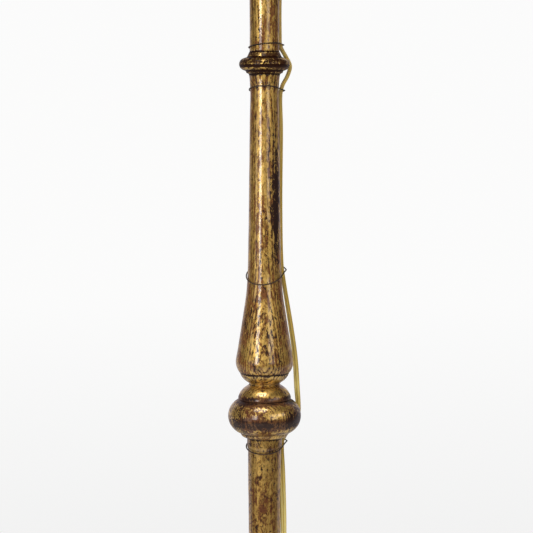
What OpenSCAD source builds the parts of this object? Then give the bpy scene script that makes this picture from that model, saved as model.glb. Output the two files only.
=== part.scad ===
// Candlestick floor lamp: a turned and gilded wooden column, wired on the outside.
// Millimetres, +Z up. The origin is on the floor under the middle of the base,
// and -Y is the front. The lead runs down the +X side and lies behind the base.

/* [Base] */
// Diameter of the round plinth
base_d = 300; // [290:2:340]
// Height of the plinth
plinth_h = 36; // [32:1:44]
// Diameter of the plinth's flat top, inside its rounded edge
plinth_top_d = 266; // [258:2:272]
// Diameter of the stepped dome on the plinth
dome_d = 242; // [220:2:252]
// Height of the dome
dome_h = 54; // [48:1:70]
// Diameter of a bun foot
foot_d = 64; // [54:1:68]
// Height of a bun foot
foot_h = 35; // [30:1:45]
// Diameter of the circle that the feet stand on
foot_circle_d = 232; // [228:2:236]
// Thickness of the felt under each foot
felt_t = 3; // [2:0.5:5]
// Diameter of the iron ballast disc
ballast_d = 158; // [120:2:160]
// Height of the ballast disc
ballast_h = 22; // [14:1:24]
// Thickness of the board that closes the ballast recess
cover_t = 3; // [2:0.5:4]

/* [Column] */
// Height of the pedestal turning
pedestal_h = 132; // [120:2:160]
// Diameter of the pedestal's bulb
pedestal_d = 84; // [76:1:96]
// Height of the lower shaft, with the band at its top
lower_shaft_h = 404; // [300:2:480]
// Diameter of the lower shaft in its middle
lower_shaft_d = 35.6; // [34:0.2:38]
// Diameter of the band under the knop
band_d = 39.4; // [38.6:0.2:41]
// Diameter of the big round knop
knop_d = 82; // [79:1:96]
// Height of the knop's round
knop_round_h = 38; // [34:0.5:39]
// Height of the small foot ring under the knop's round
knop_foot_h = 5; // [4:0.5:8]
// Height of the cyma on the knop's round
knop_cap_h = 17; // [14:0.5:22]
// Diameter of the narrow neck over the knop
neck_d = 34.8; // [32:0.2:38]
// Diameter of the undercut cushion ring
cushion_d = 55; // [50:0.5:60]
// Height of the cushion ring
cushion_h = 13; // [10:0.5:18]
// Widest diameter of the long vase
vase_d = 64.6; // [62:0.2:72]
// Height of the long vase and its shaft
vase_h = 332; // [280:2:400]
// Diameter at the vase shaft's waist
waist_d = 31.5; // [30:0.1:33]
// Diameter of the collar
collar_d = 56; // [50:0.5:64]
// Height of the collar
collar_h = 25; // [22:0.5:32]
// Diameter of the upper shaft
upper_shaft_d = 33; // [31:0.2:35]
// Height of the upper shaft
upper_shaft_h = 176; // [140:2:240]
// Diameter of the capital's lip
capital_d = 80; // [76:1:92]
// Height of the capital
capital_h = 60; // [58:1:66]
// Diameter of the dowels between the turnings
dowel_d = 16; // [12:0.5:18]
// How far a dowel goes into each turning
dowel_in = 30; // [20:1:40]

/* [Brass fittings] */
// Diameter of the drip pan
pan_d = 116; // [100:2:140]
// Height of the drip pan's rim
pan_h = 10; // [8:0.5:14]
// Thickness of the pan's brass sheet
pan_t = 1.2; // [0.8:0.1:1.6]
// Height of the turned spindle over the pan
spindle_h = 41; // [30:1:60]
// Outside diameter of the threaded pipe
pipe_d = 10; // [9.4:0.1:10.6]
// Bore of the threaded pipe
pipe_bore_d = 7; // [6:0.1:7.6]
// Height of the harp from its saddle to its top bar
harp_h = 232; // [220:2:260]
// Widest width of the harp
harp_w = 124; // [110:2:136]
// Distance between the harp's feet
harp_foot_w = 60; // [56:1:66]
// Diameter of the harp's wire
harp_wire_d = 3.6; // [3:0.1:4]
// Travel of the sleeves that lock the harp's feet
sleeve_lift = 14; // [12:0.5:16]

/* [Lampholder and bulb] */
// Outside diameter of the brass shell
shell_d = 36; // [35:0.2:40]
// Height of the lampholder from its cap to the shell's rim
holder_h = 64; // [62:0.5:76]
// Thickness of the brass of the cap and shell
shell_t = 0.8; // [0.6:0.1:1]
// Diameter of the bulb's screw base
bulb_base_d = 26.2; // [25.6:0.1:26.6]
// Diameter of the bulb
bulb_d = 60; // [50:1:64]
// Length of the bulb over its base
bulb_h = 84; // [76:1:92]

/* [Shade] */
// Height of the shade
shade_h = 250; // [220:2:264]
// Diameter of the shade's top
shade_top_d = 190; // [180:2:220]
// Diameter of the shade's bottom
shade_bottom_d = 390; // [340:2:420]
// Thickness of the shade's laminated skin
shade_t = 1; // [0.8:0.1:1.4]
// Diameter of the wire rings
ring_d = 3; // [2.4:0.1:3.6]
// Drop from the top ring to the washer in its middle
spider_drop = 12; // [8:0.5:16]
// Height of the tape on the shade's two edges
trim_h = 10; // [8:0.5:14]

/* [Lead] */
// Width of the flat twin lead
cord_w = 6.7; // [6.4:0.1:6.8]
// Thickness of the flat twin lead
cord_t = 3.5; // [3.2:0.1:3.6]
// Turns of the coil in each of its two layers
coil_turns = 4; // [2:1:4]
// Radius of the coil's outermost turn
coil_r = 44; // [42:0.5:46]
// Diameter of the iron tie wire
tie_wire_d = 1.4; // [1:0.1:1.6]
// Length of the plug's body
plug_l = 34; // [30:1:40]
// Width of the plug's body
plug_w = 26; // [24:1:30]
// Thickness of the plug's body
plug_t = 16; // [14:1:18]

/* [Hidden] */
$fn = 72;
eps = 0.01;
gap = 0.1;             // round pieces of one body, glued or screwed together
play = 0.3;            // pieces that move past each other
foot_angles = [90, 210, 330];

z_plinth = felt_t + foot_h;
z_dome = z_plinth + plinth_h;
z_pedestal = z_dome + dome_h;
z_lower = z_pedestal + pedestal_h;
z_knop = z_lower + lower_shaft_h;
knop_h = knop_foot_h + knop_round_h + knop_cap_h;
z_cushion = z_knop + knop_h;
z_vase = z_cushion + cushion_h;
z_collar = z_vase + vase_h;
z_upper = z_collar + collar_h;
z_capital = z_upper + upper_shaft_h;
z_top = z_capital + capital_h;

band_h = 12;
dowel_hole_r = dowel_d / 2 + gap;
dowel_end = 1;         // air left past the end of a dowel
tenon_d = 40;          // pedestal tenon through the dome and plinth

recess_r = ballast_d / 2 + 1;
recess_h = ballast_h + 0.5;
cover_r = recess_r + 11;
foot_neck_r = 22;
screw_d = 5;
small_screw_d = 3.4;
cover_screw_r = recess_r + 5.5;
cover_screw_l = 16;
bolt_d = 10;
bolt_in = 22;
washer_t = 2.5;

plate_r = 20;
plate_t = 3;
plate_screw_l = 12;
boss_r = pipe_d / 2 + 3;
boss_h = 8;
z_pan = z_top + plate_t;
z_spindle = z_pan + pan_t;
z_saddle = z_spindle + spindle_h;
saddle_t = 2;
saddle_w = 14;
z_cap = z_saddle + saddle_t;
pipe_top = 11;
pipe_r = pipe_d / 2;

post_r = harp_wire_d / 2 + 0.7;
post_h = sleeve_lift - 0.5;
sleeve_bore_r = post_r + play;
sleeve_r = sleeve_bore_r + 1.2;
sleeve_h = post_h + 10;
leg_h = post_h + sleeve_h + 10;
z_harp_top = z_saddle + harp_h;

stud_r = 8;
stud_h = 8;
post_top_r = 3;
z_stud = z_harp_top - harp_wire_d / 2 - 1.5;
z_seat = z_stud + stud_h;

cap_h = 22;
shell_r = shell_d / 2;
cap_r = shell_r + gap + shell_t;
liner_t = 0.8;
liner_r = shell_r - shell_t - gap;
body_h = 20;
z_body = z_cap + cap_h - 2;
z_screw = z_body + body_h;
screw_t = 0.4;
screw_r = bulb_base_d / 2 + 0.4 + screw_t;
contact_h = 3;
key_z = z_body + 11;
key_r = 2;
key_in = 8;
key_out = shell_r + 7;
knob_r = 5;
knob_l = 10;
slot_w = 2 * key_r + 4;

z_bulb = z_screw + contact_h + play;
tip_h = 3;
base_h = z_cap + holder_h + 4 - z_bulb - tip_h;
z_glass = z_bulb + tip_h + base_h;
glass_t = 0.8;
glass_neck_r = bulb_base_d / 2 - 1;

washer_r = 14;
spider_t = 1.6;
z_washer = z_seat + 0.2;
z_ring_top = z_washer + spider_t / 2 + spider_drop;
z_shade_top = z_ring_top + ring_d / 2 + 0.6;
z_shade = z_shade_top - shade_h;
z_ring_bottom = z_shade + ring_d / 2 + 0.6;
z_finial = z_washer + spider_t + 0.2;
trim_t = 0.6;

// Where the lead comes out: distance from the axis, height over the capital's foot
outlet_r = 25;
outlet_h = 12;
outlet_turn = 22;      // degrees from +X towards +Y
outlet_lean = 30;      // degrees from straight down
bushing_r = 4.5;
bushing_tip_r = 4;
bushing_l = 31;
lead_r = 2;

// Route down the column: distance from the axis, degrees from +X towards +Y,
// height, and degrees that the flat side is turned off the column
column_route = [
    [25, 22, 1282, 0], [28, 22, 1277, 0], [31.5, 22, 1266, 0], [31, 23, 1245, 0], [24.5, 25, 1207, 0],
    [19, 27, 1160, 0], [18.8, 28, 1112, 0], [19.8, 27, 1100, 0], [25.3, 25, 1090, 0], [30.6, 23, 1079, 0],
    [27.6, 22, 1068, 0], [21, 22, 1056, 0], [18.8, 22, 1042, 0], [19.8, 23, 1006, 0], [20, 29, 930, 0],
    [20.5, 25, 866, 0], [23, 20, 838, 5], [30.8, 18, 790, 20], [36.2, 18, 752, 30], [39.2, 21, 718, 40],
    [42.4, 26, 698, 20], [43.4, 29, 686, 0], [37.5, 33, 672, 0], [26, 32, 661, 0], [21.9, 27, 651, 0],
    [21.6, 20, 620, 40], [22, 12, 560, 75], [21.5, 15, 480, 50], [20.2, 22, 400, 0], [21, 27, 310, 0],
    [26, 29, 266, 0], [32.6, 31, 249, 0], [38.5, 34, 221, 0], [44.6, 38, 191, 0], [52, 43, 150, 0],
    [63.5, 47, 125, 0], [89, 51, 107, 0], [117, 54, 94, 0], [145.4, 57, 71.5, 0], [156.5, 58, 50, 15],
    [165.5, 60, 20, 45]
];
// The rest of it on the floor: x, y, height and turn, up to the coil's first face
floor_route = [
    [90, 156, 6.5, 65], [96, 168, 4, 85], [100, 184, 3.6, 90], [100, 198, 3.6, 90]
];
coil_c = [56, 205];    // middle of the coil
coil_lead_in = 7;
coil_pitch = cord_t + 0.7;
layer_pitch = cord_w + 0.7;
coil_z = 3.6;
coil_exit = 110;       // degrees round the coil where it leaves for the plug
coil_tail = 8;
rings = 24;            // rings in one loop of the coil
plug_tail_l = 26;
plug_z = plug_t / 2;
blade_w = 6.3;
blade_t = 1.5;
blade_l = 17;
blade_in = 8;
blade_apart = 12.7;

tie_rings = 48;
tie_gap = 0.15;        // between the tie wire and what it goes round

// ---- curves ----

// Arc about c with radius r, from angle a to angle b, as n chords
function arc(c, r, a, b, n = 12) =
    [for (i = [0 : n]) c + r * [cos(a + (b - a) * i / n), sin(a + (b - a) * i / n)]];

// One point of the curve that runs smoothly through the points p, t of the way from p[i]
function through(p, i, t) =
    let (a = p[max(i - 1, 0)], b = p[i], c = p[i + 1], d = p[min(i + 2, len(p) - 1)])
    b + 0.5 * t * ((c - a) + t * ((2 * a - 5 * b + 4 * c - d) + t * (3 * b - a - 3 * c + d)));

// The whole curve, with n steps from each point to the next
function smooth(p, n) =
    concat([for (i = [0 : len(p) - 2], j = [0 : n - 1]) through(p, i, j / n)], [p[len(p) - 1]]);

function unit(v) = v / norm(v);

// Direction of a line of points at its point i
function along(p, i, closed = false) =
    closed ? unit(p[(i + 1) % len(p)] - p[(i + len(p) - 1) % len(p)])
           : unit(p[min(i + 1, len(p) - 1)] - p[max(i - 1, 0)]);

// Ring of section points s about p: x of the section lies along w, y across it
function ring(p, w, t, s) =
    let (u = unit(w - (w * t) * t), v = cross(t, u))
    [for (q = s) p + q[0] * u + q[1] * v];

// Faces between n rings of m points, in triangles, with flat ends or closed round
function skin(n, m, closed = false) = concat(
    [for (i = [0 : (closed ? n : n - 1) - 1], j = [0 : m - 1], k = [0, 1])
        let (lower = i * m, upper = ((i + 1) % n) * m, next = (j + 1) % m)
        k == 0 ? [lower + j, lower + next, upper + j] : [lower + next, upper + next, upper + j]],
    closed ? [] : [for (j = [1 : m - 2]) [0, j + 1, j]],
    closed ? [] : [for (j = [1 : m - 2]) let (z = (n - 1) * m) [z, z + j, z + j + 1]]
);

// Tube through rings of points, ready made
module tube(r, closed = false) {
    m = len(r[0]);
    polyhedron(points = [for (q = r) each q], faces = skin(len(r), m, closed), convexity = 8);
}

function circle_section(r, n) = [for (i = [0 : n - 1]) r * [cos(360 * i / n), sin(360 * i / n)]];
// Flat twin section: eight sides, its two edges rounded off
function flat_section(w, t) = [
    [w / 2, -t / 5], [w / 2, t / 5], [w / 2 - t / 3, t / 2], [-w / 2 + t / 3, t / 2],
    [-w / 2, t / 5], [-w / 2, -t / 5], [-w / 2 + t / 3, -t / 2], [w / 2 - t / 3, -t / 2]
];

// ---- general pieces ----

// A turning: the outline p from its foot to its head, closed along the axis
module turned(p) {
    rotate_extrude() polygon(concat([[0, p[0][1]]], p, [[0, p[len(p) - 1][1]]]));
}

// Blind hole for a dowel: up from z, or down from it
module dowel_hole(z, up) {
    l = dowel_in + dowel_end;
    translate([0, 0, up ? z - eps : z - l]) cylinder(r = dowel_hole_r, h = l + eps);
}

module dowel(z) {
    c = 1;
    r = dowel_d / 2;
    translate([0, 0, z - dowel_in])
        turned([[r - c, 0], [r, c], [r, 2 * dowel_in - c], [r - c, 2 * dowel_in]]);
}

// Countersunk wood screw, head down at z = 0, point up
module screw(d, l, head = 2) {
    turned([[d * head / 2, 0], [d / 2, d / 2], [d / 2, l - d], [0.3, l]]);
}

module screw_hole(d, l, head = 2) {
    turned([[d * head / 2 + gap, -eps], [d / 2 + gap, d / 2], [d / 2 + gap, l + 0.5]]);
}

module at_feet() {
    for (a = foot_angles) rotate([0, 0, a]) translate([foot_circle_d / 2, 0, 0]) children();
}

// ---- base ----

foot_sink = 10;        // how deep a foot screw's head sits in the foot
foot_screw_in = 24;    // how far the screw goes into the plinth
foot_screw_l = foot_h - foot_sink + foot_screw_in;

module felt_pads() {
    color("darkolivegreen") at_feet() cylinder(d = foot_d * 0.6, h = felt_t);
}

module bun_foot(i) {
    r = foot_d / 2;
    h = foot_h - 5;
    color("peru") rotate([0, 0, foot_angles[i]]) translate([foot_circle_d / 2, 0, felt_t])
        difference() {
            turned(concat(
                [for (t = [-60 : 12 : 60]) [r * (0.2 + 0.8 * cos(t)), h / 2 + h / 2 * sin(t) / sin(60)]],
                [[foot_neck_r - 2, h + 1], [foot_neck_r, h + 2], [foot_neck_r, foot_h]]));
            translate([0, 0, -eps]) cylinder(d = screw_d * 2 + 1, h = foot_sink + 2 * eps);
            translate([0, 0, foot_sink]) screw_hole(screw_d, foot_screw_l);
        }
}

module foot_screws() {
    color("dimgray") at_feet() translate([0, 0, felt_t + foot_sink]) screw(screw_d, foot_screw_l);
}

module base_plinth() {
    r = base_d / 2;
    e = r - 3 - plinth_top_d / 2;
    color("peru") translate([0, 0, z_plinth]) difference() {
        turned(concat([[r - 4, 0], [r, 4], [r, plinth_h - e - 4], [r - 3, plinth_h - e - 2]],
            arc([r - 3 - e, plinth_h - e], e, 0, 90)));
        translate([0, 0, -eps]) cylinder(r = recess_r, h = recess_h + eps);
        cylinder(d = tenon_d + 2 * gap, h = plinth_h + eps);
        translate([0, 0, felt_t + foot_sink - z_plinth]) at_feet() screw_hole(screw_d, foot_screw_l);
        for (a = foot_angles) rotate([0, 0, a + 60]) translate([cover_screw_r, 0, -cover_t])
            cylinder(d = small_screw_d + 2 * gap, h = cover_screw_l + 0.5);
    }
}

module ballast() {
    r = ballast_d / 2;
    color("dimgray") translate([0, 0, z_plinth + recess_h - ballast_h]) difference() {
        turned([[r - 1.5, 0], [r, 1.5], [r, ballast_h - 1.5], [r - 1.5, ballast_h]]);
        translate([0, 0, -eps]) cylinder(d = bolt_d + 2 * gap, h = ballast_h + 1);
        translate([0, 0, -eps]) cylinder(r = bolt_d + 1, h = bolt_d * 0.7 + washer_t + 2 * eps);
    }
}

// The head of the bolt and its washer sit in the ballast's counterbore
z_bolt = z_plinth + recess_h - ballast_h + bolt_d * 0.7;

module ballast_washer() {
    color("silver") translate([0, 0, z_bolt]) difference() {
        cylinder(r = bolt_d, h = washer_t);
        translate([0, 0, -1]) cylinder(d = bolt_d + 2 * gap, h = washer_t + 2);
    }
}

module ballast_bolt() {
    h = bolt_d * 0.6;
    color("silver") translate([0, 0, z_bolt]) union() {
        translate([0, 0, -h]) cylinder(d = bolt_d * 1.8, h = h, $fn = 6);
        cylinder(d = bolt_d, h = z_plinth + recess_h + bolt_in - z_bolt);
    }
}

module base_cover() {
    color("darkolivegreen") translate([0, 0, z_plinth - cover_t]) difference() {
        cylinder(r = cover_r, h = cover_t);
        for (a = foot_angles) rotate([0, 0, a + 60]) translate([cover_screw_r, 0, 0])
            screw_hole(small_screw_d, cover_screw_l);
    }
}

module cover_screws() {
    color("goldenrod") translate([0, 0, z_plinth - cover_t]) for (a = foot_angles)
        rotate([0, 0, a + 60]) translate([cover_screw_r, 0, 0]) screw(small_screw_d, cover_screw_l);
}

dome_top_r = 60;
dome_round = 9;
dome_bead = 4;

module base_dome() {
    r = dome_d / 2;
    z0 = 2 * dome_round + 3;
    z1 = dome_h - 2 * dome_bead;
    r0 = r - 15;
    color("peru") translate([0, 0, z_dome]) difference() {
        turned(concat(arc([r - dome_round, dome_round], dome_round, -90, 90, 18),
            [[r0 + 2, 2 * dome_round], [r0 + 2, z0]],
            [for (t = [0 : 6 : 90]) [r0 - (r0 - dome_top_r) * sin(t), z1 - (z1 - z0) * cos(t)]],
            arc([dome_top_r - dome_bead, dome_h - dome_bead], dome_bead, -90, 90)));
        translate([0, 0, -eps]) cylinder(d = tenon_d + 2 * gap, h = dome_h + 1);
    }
}

// ---- column ----

module pedestal() {
    r = pedestal_d / 2;
    h = pedestal_h;
    b = 6;
    l = plinth_h + dome_h - recess_h;
    neck = lower_shaft_d / 2 + 1.7;
    color("peru") translate([0, 0, z_pedestal]) difference() {
        union() {
            turned(concat(arc([r + 2, b], b, -90, 90),
                [[r - 2, 2 * b], [r - 2, 2 * b + 2]],
                smooth([[r * 0.64, h * 0.115], [r * 0.6, h * 0.17], [r * 0.72, h * 0.29],
                    [r * 0.95, h * 0.41], [r, h * 0.485], [r * 0.9, h * 0.59], [r * 0.66, h * 0.71], [r * 0.5, h * 0.8],
                    [neck, h * 0.86]], 4),
                arc([neck + 4, h - 5 - b], b, -90, 90),
                [[neck + 1, h - 5], [neck, h - 3], [neck, h]]));
            translate([0, 0, -l]) cylinder(d = tenon_d, h = l + 2);
        }
        dowel_hole(h, false);
        translate([0, 0, -l - eps]) cylinder(d = bolt_d + 2 * gap, h = bolt_in + 2);
    }
}

// Outline of the lower shaft, the band at its top included
function lower_side() = let (r = lower_shaft_d / 2, b = band_d / 2, h = lower_shaft_h)
    concat(smooth([[r + 1.7, 0], [r + 1, h * 0.1], [r + 0.1, h * 0.35], [r, h * 0.6], [r + 0.3, h * 0.8],
            [b - 1.2, h - 50], [b - 1, h - band_h - 1.5]], 5),
        [[b - 0.3, h - band_h], [b, h - band_h + 1], [b, h - 1.5], [b + 0.2, h]]);

module lower_shaft() {
    color("peru") translate([0, 0, z_lower]) difference() {
        turned(lower_side());
        dowel_hole(0, true);
        dowel_hole(lower_shaft_h, false);
    }
}

module knop() {
    t = knop_d / 4;
    c = knop_foot_h + knop_round_h / 2;
    a = asin(knop_round_h / 2 / t);
    n = neck_d / 2;
    r = t + t * cos(a);
    z = knop_foot_h + knop_round_h;
    f = knop_foot_h;
    color("goldenrod") translate([0, 0, z_knop]) difference() {
        turned(concat([[r - f - 1.5, 0]], arc([r - f - 1, f], f, -75, 0, 6),
            arc([t, c], t, -a, a, 28),
            smooth([[r + 1, z + 0.3], [r + 1.4, z + 1], [r + 1, z + knop_cap_h * 0.2],
                [r - 1, z + knop_cap_h * 0.45], [n + 6.2, z + knop_cap_h * 0.7],
                [n + 1, z + knop_cap_h * 0.92], [n, z + knop_cap_h]], 4)));
        translate([0, 0, -eps]) cylinder(r = dowel_hole_r, h = knop_h + 1);
    }
}

module cushion_ring() {
    n = neck_d / 2;
    r = cushion_d / 2;
    h = cushion_h;
    color("goldenrod") translate([0, 0, z_cushion]) difference() {
        turned(smooth([[n, 0], [n + 0.6, h * 0.12], [n + (r - n) * 0.5, h * 0.36],
            [n + (r - n) * 0.84, h * 0.66], [r - 0.2, h * 0.9], [r, h]], 4));
        translate([0, 0, -eps]) cylinder(r = dowel_hole_r, h = h + 1);
    }
}

// Outline of the long vase and its shaft
function vase_side() = let (v = vase_d / 2, w = waist_d / 2, h = vase_h, d = v - w)
    smooth([[cushion_d / 2 + 0.3, 0], [v - 2.7, 2.4], [v - 0.9, 6.6], [v, h * 0.034],
        [v - d * 0.02, h * 0.048], [v - d * 0.13, h * 0.078], [v - d * 0.34, h * 0.144],
        [v - d * 0.55, h * 0.21], [v - d * 0.68, h * 0.252], [v - d * 0.77, h * 0.3],
        [v - d * 0.83, h * 0.37], [v - d * 0.88, h * 0.5], [v - d * 0.93, h * 0.7],
        [v - d * 0.965, h * 0.84], [w, h * 0.93], [w + 0.5, h - 8], [w + 1.2, h - 1.5],
        [w + 1.6, h]], 4);

module vase_shaft() {
    color("goldenrod") translate([0, 0, z_vase]) difference() {
        turned(vase_side());
        dowel_hole(0, true);
        dowel_hole(vase_h, false);
    }
}

module collar() {
    r = collar_d / 2;
    b = upper_shaft_d / 2;
    h = collar_h;
    m = h * 0.45;
    color("saddlebrown") translate([0, 0, z_collar]) difference() {
        turned(concat([[waist_d / 2 + 1.6, 0], [b + 1.4, 0.8], [b + 3.6, 1.6], [b + 3.9, 2.8],
                [b + 4.6, h * 0.16]],
            [for (t = [-75 : 15 : 75]) [b + 4.6 + (r - b - 4.6) * cos(t), m + h * 0.275 * sin(t)]],
            [[b + 2.9, h * 0.76], [b + 2.2, h * 0.81], [b + 1.3, h * 0.89], [b + 0.6, h * 0.95], [b, h]]));
        translate([0, 0, -eps]) cylinder(r = dowel_hole_r, h = h + 1);
    }
}

function upper_side() = let (r = upper_shaft_d / 2, h = upper_shaft_h)
    smooth([[r - 0.3, 0], [r, 2], [r - 0.2, h * 0.1], [r, h * 0.4], [r + 0.1, h * 0.7],
        [r + 0.1, h]], 3);

module upper_shaft() {
    color("goldenrod") translate([0, 0, z_upper]) difference() {
        turned(upper_side());
        dowel_hole(0, true);
        dowel_hole(upper_shaft_h, false);
    }
}

// Puts its children at the outlet, with +Z back up along the lead's way out
module at_outlet() {
    rotate([0, 0, outlet_turn]) translate([outlet_r, 0, z_capital + outlet_h])
        rotate([0, -outlet_lean, 0]) children();
}

bore_l = outlet_r / sin(outlet_lean);

module capital() {
    r = capital_d / 2;
    b = upper_shaft_d / 2;
    h = capital_h;
    color("goldenrod") difference() {
        translate([0, 0, z_capital]) turned(concat([[b, 0]], arc([b + 2, 3], 3, -80, 90, 8),
            [[b + 1.5, 7], [b + 1.5, 8]],
            smooth([[b + 1, 9], [b + 1, h * 0.3], [b + 3, h * 0.45], [r - 14, h * 0.6], [r - 5, h * 0.72],
                [r - 3, h * 0.8]], 4),
            arc([r - 4, h * 0.9], 4, -60, 60, 8), [[r - 3, h - 0.8], [r - 4, h]]));
        dowel_hole(z_capital, true);
        translate([0, 0, z_top - boss_h - 1]) cylinder(r = boss_r + gap, h = boss_h + 2);
        translate([0, 0, z_top - 18]) cylinder(r = pipe_r, h = 20);
        at_outlet() cylinder(r = bushing_r + gap, h = bore_l - 6);
        at_plate_screws() cylinder(d = small_screw_d, h = plate_screw_l + 1);
    }
}

module pedestal_dowel() {
    color("burlywood") dowel(z_lower);
}

module knop_dowel() {
    color("burlywood") translate([0, 0, z_knop - dowel_in])
        cylinder(d = dowel_d, h = knop_h + cushion_h + 2 * dowel_in);
}

module collar_dowel() {
    color("burlywood") translate([0, 0, z_collar - dowel_in])
        cylinder(d = dowel_d, h = collar_h + 2 * dowel_in);
}

capital_dowel_up = 24;

module capital_dowel() {
    color("burlywood") translate([0, 0, z_capital - dowel_in])
        cylinder(d = dowel_d, h = dowel_in + capital_dowel_up);
}

// ---- brass fittings on the capital ----

// Puts its children at the plate's screws, with +Z down into the capital
module at_plate_screws() {
    for (a = [60, 180, 300]) rotate([0, 0, a]) translate([plate_r - 6, 0, z_top + plate_t])
        mirror([0, 0, 1]) children();
}

module fixing_plate() {
    color("gold") difference() {
        translate([0, 0, z_top - boss_h]) union() {
            cylinder(r = boss_r, h = boss_h + plate_t);
            translate([0, 0, boss_h]) cylinder(r = plate_r, h = plate_t);
        }
        translate([0, 0, z_top - boss_h - 1]) cylinder(r = pipe_r, h = boss_h + plate_t + 2);
        at_plate_screws() screw_hole(small_screw_d, plate_screw_l, 1.8);
    }
}

module plate_screws() {
    color("goldenrod") at_plate_screws() screw(small_screw_d - 2 * gap, plate_screw_l, 1.9);
}

// Outline of one side of the drip pan, d out from its lower side
function pan_side(d) = let (r = pan_d / 2, f = plate_r + 2, h = pan_h)
    [[f, d], [f + 8, d + 0.4], [r - 13, h * 0.22 + d], [r - 6, h * 0.48 + d], [r - 2.6 - d * 0.5, h * 0.8],
        [r - d * 0.7, h]];

module drip_pan() {
    inside = pan_side(pan_t);
    color("gold") translate([0, 0, z_pan]) difference() {
        turned(concat([[pan_d / 2 - 24, 0]], [for (i = [2 : 5]) pan_side(0)[i]], [[pan_d / 2, pan_h + 0.4],
            [pan_d / 2 - 0.8, pan_h + 0.4]], [for (i = [5 : -1 : 0]) inside[i]]));
        translate([0, 0, -1]) cylinder(r = pipe_r + gap, h = pan_t + 2);
    }
}

module neck_spindle() {
    h = spindle_h;
    color("gold") translate([0, 0, z_spindle]) difference() {
        turned(concat([[17, 0], [17, 1.5], [13, 3]], smooth([[9.5, 5], [8, h * 0.22], [8.4, h * 0.3]], 4),
            arc([9, h * 0.42], h * 0.08, -90, 90, 10),
            smooth([[8.4, h * 0.54], [7.6, h * 0.66], [8.6, h * 0.8]], 4),
            [[12, h - 3.5], [13, h - 2.5], [13, h]]));
        translate([0, 0, -1]) cylinder(r = pipe_r + gap, h = h + 2);
    }
}

module lamp_pipe() {
    h = z_cap + pipe_top - z_top + boss_h;
    color("silver") translate([0, 0, z_top - boss_h]) difference() {
        cylinder(r = pipe_r, h = h);
        translate([0, 0, -1]) cylinder(d = pipe_bore_d, h = h + 2);
    }
}

// ---- harp ----

foot_x = harp_foot_w / 2;

module at_harp_feet() {
    for (s = [-1, 1]) translate([s * foot_x, 0, z_saddle]) children();
}

module harp_saddle() {
    color("gold") union() {
        difference() {
            translate([-foot_x, -saddle_w / 2, z_saddle]) cube([2 * foot_x, saddle_w, saddle_t]);
            translate([0, 0, z_saddle - 1]) cylinder(r = pipe_r + gap, h = saddle_t + 2);
        }
        at_harp_feet() cylinder(d = saddle_w, h = saddle_t);
        at_harp_feet() cylinder(r = post_r, h = post_h);
    }
}

// Half of the harp's wire, from a foot to the middle of its top bar
function harp_side(w) = let (f = foot_x, b = w / 2, h = harp_h)
    smooth([[f, post_h], [f, post_h + 20], [f, leg_h - 5], [f, leg_h], [f + (b - f) * 0.5, leg_h + 22],
        [b - 2, h * 0.42], [b, h * 0.52], [b - 3, h * 0.66], [b * 0.8, h * 0.82], [b * 0.5, h * 0.945],
        [b * 0.3, h * 0.992], [stud_r + 1, h], [stud_r - 1, h], [0, h]], 3);

module harp() {
    side = harp_side(harp_w);
    n = len(side);
    half = [for (q = side) [q[0], 0, z_saddle + q[1]]];
    p = concat(half, [for (i = [n - 2 : -1 : 0]) [-half[i][0], 0, half[i][2]]]);
    color("gold") tube([for (i = [0 : len(p) - 1])
        ring(p[i], [0, 1, 0], along(p, i), circle_section(harp_wire_d / 2, 10))]);
}

module harp_stud() {
    color("gold") difference() {
        translate([0, 0, z_stud]) turned([[stud_r - 3, -2], [stud_r - 1, 0], [stud_r - 1, stud_h - 2.5],
            [stud_r, stud_h - 2], [stud_r, stud_h], [post_top_r, stud_h], [post_top_r, stud_h + 15],
            [post_top_r - 0.8, stud_h + 16]]);
        translate([-stud_r - 1, 0, z_harp_top]) rotate([0, 90, 0])
            cylinder(r = harp_wire_d / 2 + gap, h = 2 * stud_r + 2);
    }
}

module harp_sleeve() {
    r = sleeve_r;
    h = sleeve_h;
    b = sleeve_bore_r;
    rotate_extrude() polygon([[b, 0], [r + 0.8, 0], [r + 0.8, 2], [r, 2.8], [r, h - 4], [r - 0.6, h - 1],
        [r - 1, h], [b, h]]);
}

module harp_sleeve_left() {
    color("gold") translate([-foot_x, 0, z_saddle + saddle_t]) harp_sleeve();
}

module harp_sleeve_right() {
    color("gold") translate([foot_x, 0, z_saddle + saddle_t]) harp_sleeve();
}

// ---- lampholder ----

module socket_cap() {
    h = cap_h;
    r = cap_r;
    t = shell_t;
    color("gold") translate([0, 0, z_cap]) difference() {
        turned(concat([[8.5, 0], [8.5, 2], [10, 2.5]],
            smooth([[10, 4], [r - 4, 8], [r - 0.8, 12], [r, 16]], 4), [[r, h]]));
        translate([0, 0, t]) turned([[0, 4], [7, 4], [8, 4.5], [r - t - 4, 10.4], [r - t - 1.2, 14],
            [r - t, 18], [r - t, h]]);
        translate([0, 0, -1]) cylinder(r = pipe_r + gap, h = h + 2);
    }
}

// Open at its foot towards the front, where the switch's stem goes through
module key_slot() {
    translate([-slot_w / 2, -shell_r - 5, z_body - 1])
        cube([slot_w, shell_r, key_z - z_body + 1 + slot_w / 2]);
}

module socket_shell() {
    h = holder_h - cap_h + 3;
    r = shell_r;
    color("gold") difference() {
        translate([0, 0, z_cap + cap_h - 3]) rotate_extrude() polygon([[r - shell_t, 0], [r, 0], [r, h - 8],
            [r + 0.8, h - 7], [r + 0.8, h - 5], [r, h - 4], [r, h], [r - shell_t, h]]);
        key_slot();
    }
}

module socket_liner() {
    h = holder_h - cap_h;
    color("tan") difference() {
        translate([0, 0, z_cap + cap_h - 2]) difference() {
            cylinder(r = liner_r, h = h);
            translate([0, 0, -1]) cylinder(r = liner_r - liner_t, h = h + 2);
        }
        key_slot();
    }
}

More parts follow.
